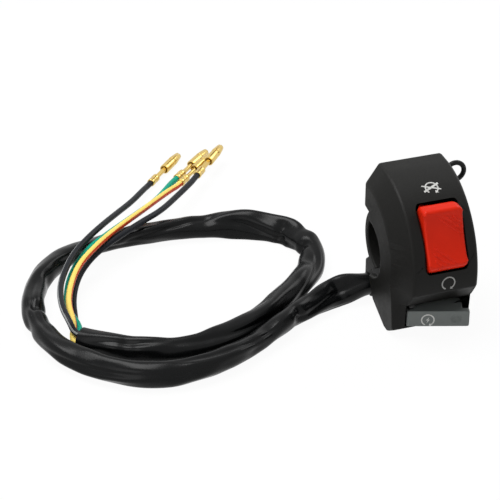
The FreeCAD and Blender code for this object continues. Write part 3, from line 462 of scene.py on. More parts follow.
def round_shading(piece, radius):
    """Point the normals away from the bar on the faces that lie round it at one radius."""
    mesh = piece.data
    normals = [Vector(corner.vector) for corner in mesh.corner_normals]
    for face in mesh.polygons:
        outward = [Vector((0, *mesh.vertices[number].co.yz)) for number in face.vertices]
        strays = max(abs(spot.length - radius) for spot in outward)
        if strays < 0.1 * MM and face.normal.dot(outward[0]) > 0:
            for corner, spot in zip(face.loop_indices, outward):
                normals[corner] = spot.normalized()
    mesh.normals_split_custom_set(normals)


def spin(angle, axis):
    return Matrix.Rotation(angle, 4, axis)


def settle(piece):
    """Put the place of a piece into its mesh."""
    select_only(piece)
    bpy.ops.object.transform_apply(location=True, rotation=True, scale=True)


def coat(piece, material):
    piece.data.materials.clear()
    piece.data.materials.append(material)


def finish_piece(piece, material, body, slot, *nodes):
    """Give a piece its material and its body, and hide the CAD nodes it stands for. The slot is not
    used.
    """
    coat(piece, material)
    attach(piece, body)
    if nodes:
        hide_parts(*nodes)


def join(pieces, name):
    select_only(pieces[0])
    for piece in pieces:
        piece.select_set(True)
    bpy.ops.object.join()
    pieces[0].name = name
    return pieces[0]


# Harness routes: X, Y and height above the floor in millimetres

LYING = 4.2
SLEEVE_ROUTE = [(-14.6, 4.0, 5.8), (-26, 4.0, 5.8), (-41, -1.4, 4.6)] + [
    (x, y, LYING) for x, y in (
        (-57, -11.5), (-75, -22.0), (-94, -28.2), (-112, -25), (-127, -13), (-137, 2.5),
        (-140, 21), (-136, 40.5), (-123.5, 58), (-105, 66.5), (-85, 68.4), (-64, 66.4),
        (-45, 60.8), (-31.5, 52.5), (-25.5, 40), (-28.5, 26.5), (-39.5, 13), (-55, 0),
        (-72, -9.3), (-91, -14.2), (-107, -11.2), (-118.5, -3.6), (-126.5, 4.2))]

WIRE_ROUTES = {
    "wire_black_white": [
        (-126.6, 4.1, 6.6), (-128.5, 5.9, 6.6), (-129.4, 8.4, 10), (-130.2, 16.8, 11.1),
        (-127.7, 30.6, 10.7), (-122.7, 41.7, 11.1), (-116.6, 51.3, 11.8), (-109.4, 59.7, 11.7),
        (-101.2, 69.3, 10.4), (-92.1, 80.5, 7.8), (-82.7, 92, 5), (-74.9, 102.8, 3),
        (-72.3, 106.5, 2), (-70.1, 108.8, 2)],
    "wire_green": [
        (-124.9, 5.8, 4.5), (-126.8, 7.7, 4.3), (-124.4, 13.7, 3.2), (-126.2, 26.4, 3.9),
        (-122.8, 39.8, 4.7), (-117.2, 49.3, 6.8), (-110.3, 55.8, 9.3), (-102.1, 60.8, 10.7),
        (-93, 68.8, 9.8), (-82.7, 79.9, 7.1), (-72.2, 91.5, 4.3), (-63.6, 103.3, 2.8),
        (-61.2, 106.8, 2), (-58.9, 109, 2)],
    "wire_yellow_red": [
        (-128, 2.7, 3.8), (-129.9, 4.6, 3.7), (-127, 11.6, 6.6), (-126.8, 22, 8.7),
        (-122.4, 34.2, 9.5), (-116.7, 44, 10.8), (-109.4, 50.8, 12.2), (-101.6, 57.8, 12.7),
        (-92.6, 66.4, 11.6), (-83, 76.6, 9.3), (-72.9, 88, 6.7), (-64.5, 97.2, 4.5),
        (-61.5, 100, 3.6), (-59.2, 102.3, 3.6)],
    "wire_black": [
        (-125.9, 4.8, 2.4), (-127.7, 6.7, 2.4), (-124.3, 21.4, 0.7), (-122.3, 33.6, 2.2),
        (-117.8, 43.6, 4.9), (-111.3, 50.4, 7.7), (-103.4, 55.2, 10), (-95, 59.5, 11.2),
        (-85.7, 66, 11.1), (-75.9, 73.4, 9.9), (-66, 84.4, 8.6), (-57, 94.6, 7.6),
        (-54.8, 97.7, 7.2), (-52.7, 100.2, 7.2)],
}

# Leads: length along the route in millimetres, as the CAD measures it, then the terminal's
# angle on the floor from X and its roll about itself in degrees
LEADS = {
    "wire_black_white": (127.3, 46.7, 20), "wire_green": (131.4, 44, 75),
    "wire_yellow_red": (128, 45, -35), "wire_black": (129.1, 50, 10)}

LEAD_BLACK = (0.011, 0.0125, 0.016)
SLEEVE_STEP = 0.9 * MM
LEAD_STEP = 0.8 * MM
LEAD_HIDDEN = 2.6  # start of a lead inside the sleeve's mouth, in millimetres
SMALLEST = 1e-9  # least length that is divided by


def metres(route):
    return [Vector((x * MM, y * MM, FLOOR + height * MM)) for x, y, height in route]


def smooth_line(name, points):
    """Points along the NURBS spline that has the route as its control points."""
    data = bpy.data.curves.new(name, "CURVE")
    data.dimensions = "3D"
    data.resolution_u = 24
    spline = data.splines.new("NURBS")
    spline.points.add(len(points) - 1)
    for point, spot in zip(spline.points, points):
        point.co = (*spot, 1)
    spline.order_u = 3
    spline.use_endpoint_u = True
    carrier = add_object(name, data)
    line = bpy.data.meshes.new_from_object(carrier)
    spots = [vertex.co.copy() for vertex in line.vertices]
    bpy.data.objects.remove(carrier)
    bpy.data.meshes.remove(line)
    return spots


def running_lengths(points):
    """Distance along a line to each of its points."""
    lengths = [0.0]
    for here, there in zip(points, points[1:]):
        lengths.append(lengths[-1] + (there - here).length)
    return lengths


def evenly(line, step):
    """The same line with points a step apart."""
    lengths = running_lengths(line)
    count = max(2, round(lengths[-1] / step))
    spots, index = [], 0
    for number in range(count + 1):
        goal = lengths[-1] * number / count
        while index < len(line) - 2 and lengths[index + 1] < goal:
            index += 1
        span = max(lengths[index + 1] - lengths[index], SMALLEST)
        spots.append(line[index].lerp(line[index + 1], min(1, (goal - lengths[index]) / span)))
    return spots


def tangents(line):
    """Direction of a line at each of its points."""
    directions = []
    for index in range(len(line)):
        before, after = line[max(index - 1, 0)], line[min(index + 1, len(line) - 1)]
        directions.append((after - before).normalized())
    return directions


def skin(name, rings):
    """Closed tube through rings of points, with a UV map: U along it in metres, V around it."""
    sides = len(rings[0])
    mesh = bpy.data.meshes.new(name)
    grid = bmesh.new()
    rows = [[grid.verts.new(spot) for spot in ring] for ring in rings]
    uv = grid.loops.layers.uv.new("along")
    travelled = running_lengths([sum(ring, Vector()) / sides for ring in rings])
    for row in range(len(rows) - 1):
        here, there = rows[row], rows[row + 1]
        for side in range(sides):
            after = (side + 1) % sides
            face = grid.faces.new((here[side], here[after], there[after], there[side]))
            corners = ((travelled[row], side), (travelled[row], side + 1),
                       (travelled[row + 1], side + 1), (travelled[row + 1], side))
            for loop, (u, v) in zip(face.loops, corners):
                loop[uv].uv = (u, v / sides)
    grid.faces.new(rows[0][::-1])
    grid.faces.new(rows[-1])
    bmesh.ops.recalc_face_normals(grid, faces=grid.faces)
    grid.to_mesh(mesh)
    grid.free()
    return add_object(name, mesh)


def round_tube(name, line, radius):
    """Tube along a nearly level line; V runs from its underside up its right and over its top."""
    sides = 20
    turns = [2 * math.pi * step / sides for step in range(sides)]
    rings = []
    for spot, tangent in zip(line, tangents(line)):
        side = tangent.cross(UP).normalized()
        up = side.cross(tangent).normalized()
        rings.append([spot + (side * math.sin(turn) - up * math.cos(turn)) * radius
                      for turn in turns])
    piece = skin(name, rings)
    smooth(piece, 60)
    return piece


# Width of the sleeve at each point of its route, in millimetres, across the direction it faces
SLEEVE_WIDTHS = [8.4, 11.4, 9.6, 7.0, 8.0, 9.4, 9.4, 9.0, 8.4, 8.4, 8.6, 8.2, 7.0,
                 8.0, 8.8, 11.6, 11.8, 10.2, 10.4, 9.2, 8.2, 8.6, 9.6, 10.0, 9.8, 9.2]
SLEEVE_FACES = Vector((-0.27, -0.8, 0.53))
SLEEVE_SIDES = 56
THINNEST, THICKEST = 3.0 * MM, 5.0 * MM  # half of the sleeve's depth
LIES_FROM, LIES_WITHIN = 8 * MM, 16 * MM  # where the sleeve comes down to the floor
RIPPLES_WITHIN = 16 * MM  # the folds grow to their full depth on this stretch
RIPPLE_RINGS = 16  # and fade on the last rings before the mouth
RIPPLE_START, RIPPLE_END = 0.25, 0.35  # share of the folds' depth at the two ends
BEND_REACH = 4  # points to each side of the one where a bend is measured
PLEAT_GAIN, PLEAT_START = 3, 0.35  # pleats for each radian of bend, and what goes off them
LOW_POINTS = 3  # left out when the underside of a ring is found
NEAR_RINGS = 3  # to each side, that are lifted alike
FLOOR_GAP = 0.1 * MM
MOUTH_WALL = 0.55 * MM
MOUTH_RINGS = 4  # how far the inside of the open end goes in

# Kinks of the sleeve: place on the floor in millimetres, depth, half length, side it dents
KINKS = [
    (-25.6, 45, 2.6, 2.6, 200), (-26.6, 36.5, 2.2, 2.2, 30), (-31, 52, 1.6, 2.4, 60),
    (-30.5, 24, 1.0, 4, 60), (-139.5, 25, 2.3, 2.8, 40), (-139, 16, 1.2, 2.4, 200),
    (-132, 47, 1.0, 3.5, 40), (-62, -15, 1.4, 4.0, 70), (-49, -6.5, 1.8, 2.6, 110),
    (-29, 3.2, 1.3, 3, 70), (-70, -20, 1.0, 4, 100), (-90, 68, 1.2, 5, 60),
    (-60, 65.5, 1.1, 4, 120), (-112, -8.0, 1.3, 3.2, 80),
]

# Long folds: turn round the sleeve in degrees, drift, place and length along it in millimetres
FOLDS = [
    (95, 50, 15, 60), (60, -40, 70, 55), (110, 30, 120, 60), (75, 40, 165, 50), (50, -30, 215, 50),
    (100, 60, 250, 45), (70, -50, 290, 50), (120, 40, 335, 55), (85, -40, 385, 50),
    (65, 30, 425, 40), (200, 40, 40, 80), (320, -50, 150, 90), (230, 40, 260, 80),
    (330, 40, 370, 80),
]
GROOVE = 0.26  # half width of a fold's groove, as a turn
RIDGE, RIDGE_OFF, RIDGE_HIGH = 0.34, 0.5, 0.55  # half width, place beside the groove and height


def clamp(value, low=0.0, high=1.0):
    return min(high, max(low, value))


def dent_at(spot, turn):
    """How far the kinks press the sleeve in at a place on its line and a turn round it."""
    depth = 0.0
    for x, y, deep, half, side in KINKS:
        away = math.hypot(spot.x / MM - x, spot.y / MM - y) / half
        if away < 3:
            facing = max(0.0, math.cos(turn - math.radians(side)))
            depth += deep * math.exp(-away * away) * facing ** 1.5
    return depth * MM


def fold_at(travelled, turn):
    """Groove and ridge of the long folds, as shares of their depth."""
    height = 0.0
    for start_turn, drift, middle, span in FOLDS:
        along = (travelled / MM - middle) / (span / 2)
        if abs(along) < 1:
            line = math.radians(start_turn + drift * along)
            off = (turn - line + math.pi) % (2 * math.pi) - math.pi
            ridge = RIDGE_HIGH * math.exp(-((off - RIDGE_OFF) / RIDGE) ** 2)
            height += (1 - along * along) ** 1.5 * (ridge - math.exp(-(off / GROOVE) ** 2))
    return height


def sleeve_ring(spot, tangent, travelled, bend, width, ripple):
    """One ring of the flattened, folded sleeve, whose girth stays about the same."""
    harness = settings("harness")
    wide = tangent.cross(SLEEVE_FACES).normalized()
    deep = wide.cross(tangent).normalized()
    half = width / 2
    spare = 2 * (harness.girth / (2 * math.pi)) ** 2 - half ** 2
    thin = clamp(math.sqrt(max(spare, 0)), THINNEST, THICKEST)
    ring = []
    for step in range(SLEEVE_SIDES):
        turn = 2 * math.pi * step / SLEEVE_SIDES
        across, above = math.cos(turn), math.sin(turn)
        lumps = noise.noise(Vector((travelled / (19 * MM), across * 0.9, above * 0.9)))
        soft = noise.noise(Vector((travelled / (8 * MM), across * 1.1 + 5, above * 1.1)))
        pleat = noise.noise(Vector((travelled / (2.6 * MM), across * 0.8, above * 0.8 + 3)))
        wrinkle = (lumps * 0.8 + soft * 0.3 + pleat * 0.7 * bend) * MM
        wrinkle += fold_at(travelled, turn) * harness.fold - dent_at(spot, turn)
        outward = wide * across + deep * above
        ring.append(spot + wide * across * half + deep * above * thin + outward * wrinkle * ripple)
    return ring


def rest_on_floor(rings, lying):
    """Move each ring up or down so that it rests on the floor, as far as it lies there."""
    lifts = []
    for ring, share in zip(rings, lying):
        lowest = sorted(point.z for point in ring)[LOW_POINTS]
        lifts.append((FLOOR - lowest) * share)
    for index, ring in enumerate(rings):
        near = lifts[max(index - NEAR_RINGS, 0):index + NEAR_RINGS + 1]
        lift = sum(near) / len(near)
        for point in ring:
            point.z = max(point.z + lift, FLOOR + FLOOR_GAP)


def bends(line):
    """How sharply the line bends at each point, 0 to 1."""
    amounts = []
    for index, here in enumerate(line):
        before = line[max(index - BEND_REACH, 0)]
        after = line[min(index + BEND_REACH, len(line) - 1)]
        first, second = here - before, after - here
        turn = first.angle(second) if first.length > 0 and second.length > 0 else 0
        amounts.append(clamp(turn * PLEAT_GAIN - PLEAT_START))
    return amounts


def widths_along(travelled):
    """The sleeve's width at each distance along it, from the nearest two points of its route."""
    marks = running_lengths(metres(SLEEVE_ROUTE))
    widths = []
    for gone in travelled:
        goal = gone / travelled[-1] * marks[-1]
        after = next((number for number, mark in enumerate(marks) if mark >= goal), len(marks) - 1)
        before = max(after - 1, 0)
        span = max(marks[after] - marks[before], SMALLEST)
        share = clamp((goal - marks[before]) / span)
        share = share * share * (3 - 2 * share)
        width = SLEEVE_WIDTHS[before] * (1 - share) + SLEEVE_WIDTHS[after] * share
        widths.append(width * MM)
    return widths


class SWITCH_OT_harness_sleeve(bpy.types.Operator):
    """Soft black sleeve, flattened where it lies, with its open end over the leads"""
    bl_idname = "switch.harness_sleeve"
    bl_label = "Harness sleeve"

    def execute(self, context):
        line = evenly(smooth_line("sleeve_line", metres(SLEEVE_ROUTE)), SLEEVE_STEP)
        travelled = running_lengths(line)
        places = zip(line, tangents(line), travelled, bends(line), widths_along(travelled))
        rings, lying = [], []
        for index, (spot, tangent, gone, bend, width) in enumerate(places):
            to_end = len(line) - 1 - index
            ripple = min(1.0, RIPPLE_START + gone / RIPPLES_WITHIN,
                         RIPPLE_END + to_end / RIPPLE_RINGS)
            rings.append(sleeve_ring(spot, tangent, gone, bend, width, ripple))
            lying.append(clamp((gone - LIES_FROM) / LIES_WITHIN))
        rest_on_floor(rings, lying)
        for source in rings[:-MOUTH_RINGS - 1:-1]:
            middle = sum(source, Vector()) / len(source)
            rings.append([point + (middle - point).normalized() * MOUTH_WALL for point in source])
        piece = skin("harness_sleeve_soft", rings)
        smooth(piece, 70)
        finish_piece(piece, sleeve_vinyl(), "housing", "sleeve", "harness_sleeve")
        settings("harness").girth / math.pi
        return {"FINISHED"}


class SWITCH_OT_leads(bpy.types.Operator):
    """The four leads between the sleeve's mouth and their terminals"""
    bl_idname = "switch.leads"
    bl_label = "Leads"

    def execute(self, context):
        harness = settings("harness")
        looks = {
            "wire_black_white": (LEAD_BLACK, harness.white, 0.6, 0.7),
            "wire_green": (harness.green,),
            "wire_yellow_red": (harness.yellow, harness.red, 0.12, 0.36),
            "wire_black": (LEAD_BLACK,),
        }
        for name, route in WIRE_ROUTES.items():
            line = evenly(smooth_line(name + "_line", metres(route)), LEAD_STEP)
            inside = line[0] - (line[1] - line[0]).normalized() * LEAD_HIDDEN * MM
            piece = round_tube(name + "_lead", [inside, *line], harness.wire / 2)
            material = lead_insulation(name + "_insulation", *looks[name])
            finish_piece(piece, material, "housing", name, name)
        return {"FINISHED"}


def turned_form(name, profile):
    """Solid of revolution about X from (x, radius) points, by spinning an outline of edges."""
    mesh = bpy.data.meshes.new(name)
    corners = [(x * MM, 0, radius * MM) for x, radius in profile]
    mesh.from_pydata(corners, [(index, index + 1) for index in range(len(profile) - 1)], [])
    piece = add_object(name, mesh)
    with edit_mode(piece):
        bpy.ops.mesh.spin(steps=40, angle=2 * math.pi, center=(0, 0, 0), axis=(1, 0, 0))
        bpy.ops.mesh.select_all(action="SELECT")
        bpy.ops.mesh.remove_doubles(threshold=0.01 * MM)
        bpy.ops.mesh.normals_make_consistent(inside=False)
    return piece


def block(name, low, high):
    """Box between two corners in millimetres."""
    low, high = Vector(low) * MM, Vector(high) * MM
    bpy.ops.mesh.primitive_cube_add(size=1, location=(low + high) / 2, scale=high - low)
    piece = bpy.context.object
    piece.name = name
    settle(piece)
    return piece


def carve(piece, *tools):
    """Cut the tools out of a piece and remove them."""
    for tool in tools:
        apply_modifier(piece, "BOOLEAN", operation="DIFFERENCE", object=tool, solver="EXACT")
        bpy.data.objects.remove(tool)


# Outlines of the terminal's parts: X from its crimp and radius, in millimetres
BARREL = [(0, 1.3), (0, 1.5), (0.25, 1.62), (2.0, 1.62), (2.3, 1.45), (3.1, 1.45), (3.4, 1.62),
          (5.2, 1.62), (5.5, 1.48), (5.5, 1.3), (0, 1.3)]
NECK = [(5.2, 0), (5.2, 1.25), (6.4, 0.95), (11.4, 0.95), (12.9, 1.2), (12.9, 0)]
BULLET = [(12.5, 1.9), (12.8, 1.97), (18.6, 1.97), (18.9, 1.62), (19.8, 1.62), (20.1, 1.95),
          (21.4, 1.9), (24.7, 1.5), (25.3, 1.38), (25.5, 1.15), (25.5, 0.72), (13.9, 0.72),
          (13.1, 1.55), (12.5, 1.55), (12.5, 1.9)]
STRANDS = [(-0.4, 0), (-0.4, 1.05), (5.4, 1.0), (6.4, 0.75), (6.9, 0.4), (7, 0)]


def terminal_pattern():
    """One bullet terminal along X from its crimp: rolled barrel, neck and slotted bullet."""
    barrel = turned_form("barrel", BARREL)
    carve(barrel, block("seam", (-1, -0.14, 0.5), (6, 0.14, 3)))
    neck = turned_form("neck", NECK)
    carve(neck, block("neck_flat", (5.9, -2, 0.7), (12, 2, 2)))
    bullet = turned_form("bullet", BULLET)
    carve(bullet, block("slot", (13.7, -0.15, 0.3), (26, 0.15, 3)),
          block("back_slot", (20.2, -0.15, -3), (26, 0.15, -0.3)))
    strands = turned_form("strands", STRANDS)
    pattern = join([barrel, neck, bullet], "terminal_pattern")
    smooth(pattern, 38)
    smooth(strands, 50)
    return pattern, strands


class SWITCH_OT_terminals(bpy.types.Operator):
    """Brass bullet terminals with crimped barrels, slots and a groove ring"""
    bl_idname = "switch.terminals"
    bl_label = "Terminals"

    def execute(self, context):
        brass = metal("pressed_brass", settings("harness").brass, 0.24, (700, 700, 700))
        copper = metal("copper_strands", (0.75, 0.36, 0.2), 0.3, (400, 3000, 3000), bump=0.05 * MM)
        pattern, strands = terminal_pattern()
        for name, route in WIRE_ROUTES.items():
            label = name.removeprefix("wire_")
            yaw, roll = (math.radians(turn) for turn in LEADS[name][1:])
            place = Matrix.Translation(metres(route)[-1]) @ spin(yaw, "Z") @ spin(roll, "X")
            for source, title, material, nodes in (
                    (pattern, "bullet_", brass, ["terminal_" + label]),
                    (strands, "strands_", copper, [])):
                piece = add_object(title + label, source.data.copy())
                piece.data.transform(place)
                finish_piece(piece, material, "housing", "terminal_brass", *nodes)
        bpy.data.objects.remove(pattern)
        bpy.data.objects.remove(strands)
        return {"FINISHED"}


class SWITCH_OT_housing(bpy.types.Operator):
    """Front housing and rear clamp with rounded, moulded edges"""
    bl_idname = "switch.housing"
    bl_label = "Housing"

    def execute(self, context):
        housing = settings("housing")
        plastic = moulded_plastic("housing_plastic", housing.black, housing.grain)
        for node, name, width in (("front_housing", "housing_shell", housing.edge_round),
                                  ("rear_clamp", "clamp_shell", housing.clamp_round)):
            shell = cad_copy(node, name)
            round_edges(shell, width)
            even_shading(shell)
            if node == "front_housing":
                round_shading(shell, BAR_TO_FRONT)
            finish_piece(shell, plastic, "housing", "housing", node)
        return {"FINISHED"}


def rocker_place():
    pivot = Vector((ROCKER_MIDDLE, -PIVOT_RADIUS * math.cos(ROCKER_ANGLE),
                    PIVOT_RADIUS * math.sin(ROCKER_ANGLE)))
    return Matrix.Translation(pivot) @ spin(math.pi / 2 - ROCKER_ANGLE + ROCKER_TILT, "X")


def rocker_height(y):
    """Hollow rocker face above its pivot at a place along it, in millimetres."""
    dish, half, rise = 45, 10.5, 5.9
    return rise + math.sqrt(dish ** 2 - half ** 2) - math.sqrt(dish ** 2 - y ** 2)


# Bounds of the rocker's upright corner edges in its own frame, in millimetres
CORNER_ACROSS, CORNER_ALONG = 7, 10.3
SMALL_CORNER = 0.55  # of the largest corner's rounding

# Grip lines on the rocker's face: start and end, across and along it in millimetres
GRIP_LINES = [
    ((-5.2, -2.4), (3.2, -9.7)), ((-5.5, -4.5), (0.5, -9.7)), ((-5.1, -7.2), (-2.3, -9.7)),
    ((-2.3, 8.0), (6.4, 0.7)), ((0.2, 8.3), (6.4, 2.9)), ((3.2, 8.0), (6.4, 5.0)),
]


class SWITCH_OT_rocker(bpy.types.Operator):
    """Red rocker with a hollow face and diagonal grip lines"""
    bl_idname = "switch.rocker"
    bl_label = "Rocker"

    def execute(self, context):
        rocker = settings("rocker")
        red = rocker_red()
        cap = cad_copy("kill_rocker", "rocker_cap")
        self.round_corners(cap)
        round_edges(cap, rocker.edge_round, segments=4)
        even_shading(cap, 40)
        finish_piece(cap, red, "rocker", "rocker_red", "kill_rocker")
        ribs = [self.rib(number, *line) for number, line in enumerate(GRIP_LINES)]
        grip = join(ribs, "rocker_grip_lines")
        grip.data.transform(rocker_place())
        smooth(grip, 60)
        finish_piece(grip, red, "rocker", "rocker_red")
        return {"FINISHED"}

    def round_corners(self, cap):
        """Round the upright corners of the rocker's two ends, the upper right one most."""
        place = rocker_place().inverted()
        grid = bmesh.new()
        grid.from_mesh(cap.data)
        weights = grid.edges.layers.float.new("bevel_weight_edge")
        for edge in grid.edges:
            first, second = (place @ vertex.co / MM for vertex in edge.verts)
            upright = abs(first.x - second.x) < 0.1 and abs(first.x) > CORNER_ACROSS
            if upright and min(abs(first.y), abs(second.y)) > CORNER_ALONG:
                edge[weights] = 1.0 if first.x > 0 and first.y > 0 else SMALL_CORNER
        grid.to_mesh(cap.data)
        grid.free()
        apply_modifier(cap, "BEVEL", width=settings("rocker").corner_round, segments=5,
                       limit_method="WEIGHT", use_clamp_overlap=False)
        cap.data.attributes.remove(cap.data.attributes["bevel_weight_edge"])

    def rib(self, number, start, end):
        """Low rounded ridge that follows the hollow face and fades out at its ends."""
        rocker = settings("rocker")
        steps, sides = 14, 8
        start, end = Vector(start), Vector(end)
        direction = (end - start).normalized()
        across = Vector((-direction.y, direction.x, 0))
        rings = []
        for step in range(steps + 1):
            share = step / steps
            spot = start.lerp(end, share)
            fade = min(1, 6 * share + 0.15, 6 * (1 - share) + 0.15)
            base = Vector((spot.x, spot.y, rocker_height(spot.y))) * MM
            turns = (2 * math.pi * side / sides for side in range(sides))
            rings.append([base + across * math.cos(turn) * rocker.rib_width / 2 * fade
                          + UP * math.sin(turn) * rocker.rib_height * fade for turn in turns])
        return skin(f"rib_{number}", rings)


def lever_place():
    return Matrix.Translation(LEVER_HINGE) @ spin(LEVER_YAW, "Z")


class SWITCH_OT_lever(bpy.types.Operator):
    """Grey starter lever with a round dimple"""
    bl_idname = "switch.lever"
    bl_label = "Starter lever"

    def execute(self, context):
        lever = settings("lever")
        grey = moulded_plastic("lever_grey", lever.grey, 0.4 * MM, rough=0.48, speckle=0.15,
                               bump=0.02 * MM)
        piece = cad_copy("start_lever", "lever_body")
        round_edges(piece, lever.edge_round)
        ball = (lever.dimple_radius ** 2 + DIMPLE_DEPTH ** 2) / (2 * DIMPLE_DEPTH)
        behind = -LEVER_FACE - (ball - DIMPLE_DEPTH)
        bpy.ops.mesh.primitive_uv_sphere_add(
            segments=40, ring_count=24, radius=1, scale=(ball, ball, ball),
            location=lever_place() @ Vector((DIMPLE_ALONG, behind, LEVER_MIDDLE)))
        tool = bpy.context.object
        settle(tool)
        carve(piece, tool)
        even_shading(piece, 32)
        finish_piece(piece, grey, "lever", "lever_grey", "start_lever")
        return {"FINISHED"}


# Printed symbols, drawn flat in millimetres

MARK_THICKNESS = 0.05
MARK_LIFT = 0.02


def open_ring(radius, width, start, end, head):
    """Outline of an open ring between two angles in degrees, and of the arrow head at its start."""
    outer, inner, steps = [], [], 40
    for step in range(steps + 1):
        turn = math.radians(start + (end - start) * step / steps)
        outer.append((radius * math.cos(turn), radius * math.sin(turn)))
        inner.append(((radius - width) * math.cos(turn), (radius - width) * math.sin(turn)))
    turn = math.radians(start)
    out = Vector((math.cos(turn), math.sin(turn)))
    along = Vector((math.sin(turn), -math.cos(turn)))
    middle = out * (radius - width / 2)
    corners = (middle + along * head, middle + out * head * 0.8, middle - out * head * 0.8)
    return outer + inner[::-1], [tuple(corner) for corner in corners]


def bar_outline(start, end, width):
    start, end, steps = Vector(start), Vector(end), 8
    normal = (end - start).normalized().orthogonal() * width / 2
    there = [tuple(start.lerp(end, step / steps) + normal) for step in range(steps + 1)]
    back = [tuple(end.lerp(start, step / steps) - normal) for step in range(steps + 1)]
    return there + back


def flat_mark(name, *outlines):
    """Thin printed form from closed outlines."""
    parts = []
    for outline in outlines:
        data = bpy.data.curves.new(name, "CURVE")
        data.dimensions = "2D"
        data.fill_mode = "BOTH"
        data.extrude = MARK_THICKNESS / 2
        spline = data.splines.new("POLY")
        spline.points.add(len(outline) - 1)
        for point, (x, y) in zip(spline.points, outline):
            point.co = (x, y, 0, 1)
        spline.use_cyclic_u = True
        select_only(add_object(name, data))
        bpy.ops.object.convert(target="MESH")
        parts.append(bpy.context.object)
    mark = join(parts, name)
    with edit_mode(mark):
        bpy.ops.mesh.remove_doubles(threshold=1e-5)
        bpy.ops.mesh.normals_make_consistent(inside=False)
    return mark


def wrap_on_front(mark, angle):
    """Bend a flat mark round the housing's front face, at an angle round the bar."""
    for vertex in mark.data.vertices:
        turn = angle + vertex.co.y * MM / BAR_TO_FRONT
        reach = BAR_TO_FRONT + (vertex.co.z + MARK_LIFT) * MM
        across = MARK_MIDDLE + vertex.co.x * MM
        vertex.co = (across, -reach * math.cos(turn), reach * math.sin(turn))
    mark.data.update()


class SWITCH_OT_symbols(bpy.types.Operator):
    """Printed stop, run and start symbols"""
    bl_idname = "switch.symbols"
    bl_label = "Symbols"

    def execute(self, context):
        stop = flat_mark("symbol_stop", *open_ring(2.6, 0.52, -50, 230, 0.95),
                         bar_outline((-3.5, 1.4), (3.3, -1.2), 0.55),
                         bar_outline((-3.3, -1.3), (3.0, 1.6), 0.8))
        wrap_on_front(stop, STOP_ANGLE)
        run = flat_mark("symbol_run", *open_ring(2.7, 0.5, -55, 245, 0.9))
        wrap_on_front(run, RUN_ANGLE)
        bolt = [(0.5, 1.3), (-0.75, -0.15), (-0.05, -0.1), (-0.4, -1.35), (0.75, 0.25), (0.1, 0.2)]
        start = flat_mark("symbol_start", *open_ring(2.5, 0.45, -60, 245, 0.85), bolt)
        self.set_on_lever(start)
        for mark, strength, body, slot in (
                (stop, 1.0, "housing", "housing"), (run, 0.5, "housing", "housing"),
                (start, 1.0, "lever", "lever_grey")):
            finish_piece(mark, printed_ink(mark.name + "_ink", strength), body, slot)
        return {"FINISHED"}

    def set_on_lever(self, mark):
        spot = Vector((START_ALONG, -LEVER_FACE - MARK_LIFT * MM, LEVER_MIDDLE - START_DROP))
        upright = spin(math.pi / 2, "X") @ Matrix.Scale(MM, 4)
        mark.data.transform(lever_place() @ Matrix.Translation(spot) @ upright)


class SWITCH_OT_hardware(bpy.types.Operator):
    """Finishes of the fasteners, contacts and small parts"""
    bl_idname = "switch.hardware"
    bl_label = "Hardware"

    def execute(self, context):
        finishes = (
            (metal("plated_steel", (0.6, 0.6, 0.58), 0.34, (1500, 1500, 1500)),
             ("clamp_screws", "rocker_pin", "base_screws", "detent_spring")),
            (metal("blackened_steel", (0.09, 0.09, 0.09), 0.42, (1500, 1500, 1500)),
             ("lever_pin", "lever_spring")),
            (metal("turned_brass", (0.8, 0.6, 0.26), 0.28, (2500, 400, 2500)),
             ("thread_inserts", "kill_fixed_contacts", "contact_fulcrum", "start_fixed_contacts")),
            (metal("bronze_strip", (0.72, 0.44, 0.24), 0.3, (500, 3500, 500)),
             ("kill_contact", "start_contact_bar")),
            (moulded_plastic("inner_plastic", (0.03, 0.03, 0.03), 0.5 * MM, rough=0.42),
             ("bar_saddle",)),
            (moulded_plastic("white_nylon", (0.78, 0.77, 0.72), 0.6 * MM, rough=0.35,
                             bump=0.01 * MM), ("detent_plunger",)),
            (moulded_plastic("grommet_rubber", (0.02, 0.02, 0.02), 0.5 * MM, rough=0.62),
             ("cable_grommet",)),
            (laminate(), ("contact_base", "start_contact_block")),
            (lead_insulation("guide_vinyl", (0.012, 0.012, 0.012)), ("cable_guide_loop",)),
            (lead_insulation("inner_insulation", (0.03, 0.03, 0.03)), ("inner_leads",)),
        )
        for material, nodes in finishes:
            for node in nodes:
                coat(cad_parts[node], material)
        return {"FINISHED"}


# Camera, lamps and floor

CAMERA_SPOT = Vector((-263.3, -597.7, 402.0)) * MM
CAMERA_TURN = math.radians(18.5)
CAMERA_DROP = math.radians(32)
CAMERA_LENS = 147.744
FLOOR_WIDTH = 8

# Soft square lamps: place and size in metres, share of the key lamp's power
LAMPS = {
    "key": ((-0.25, 0.15, 0.75), 0.5, 1),
    "fill": ((-0.65, -0.45, 0.35), 0.45, 0.17),
    "rim": ((0.45, 0.25, 0.4), 0.3, 0.13),
}
LAMP_AIM = Vector((-0.03, 0.02, 0))


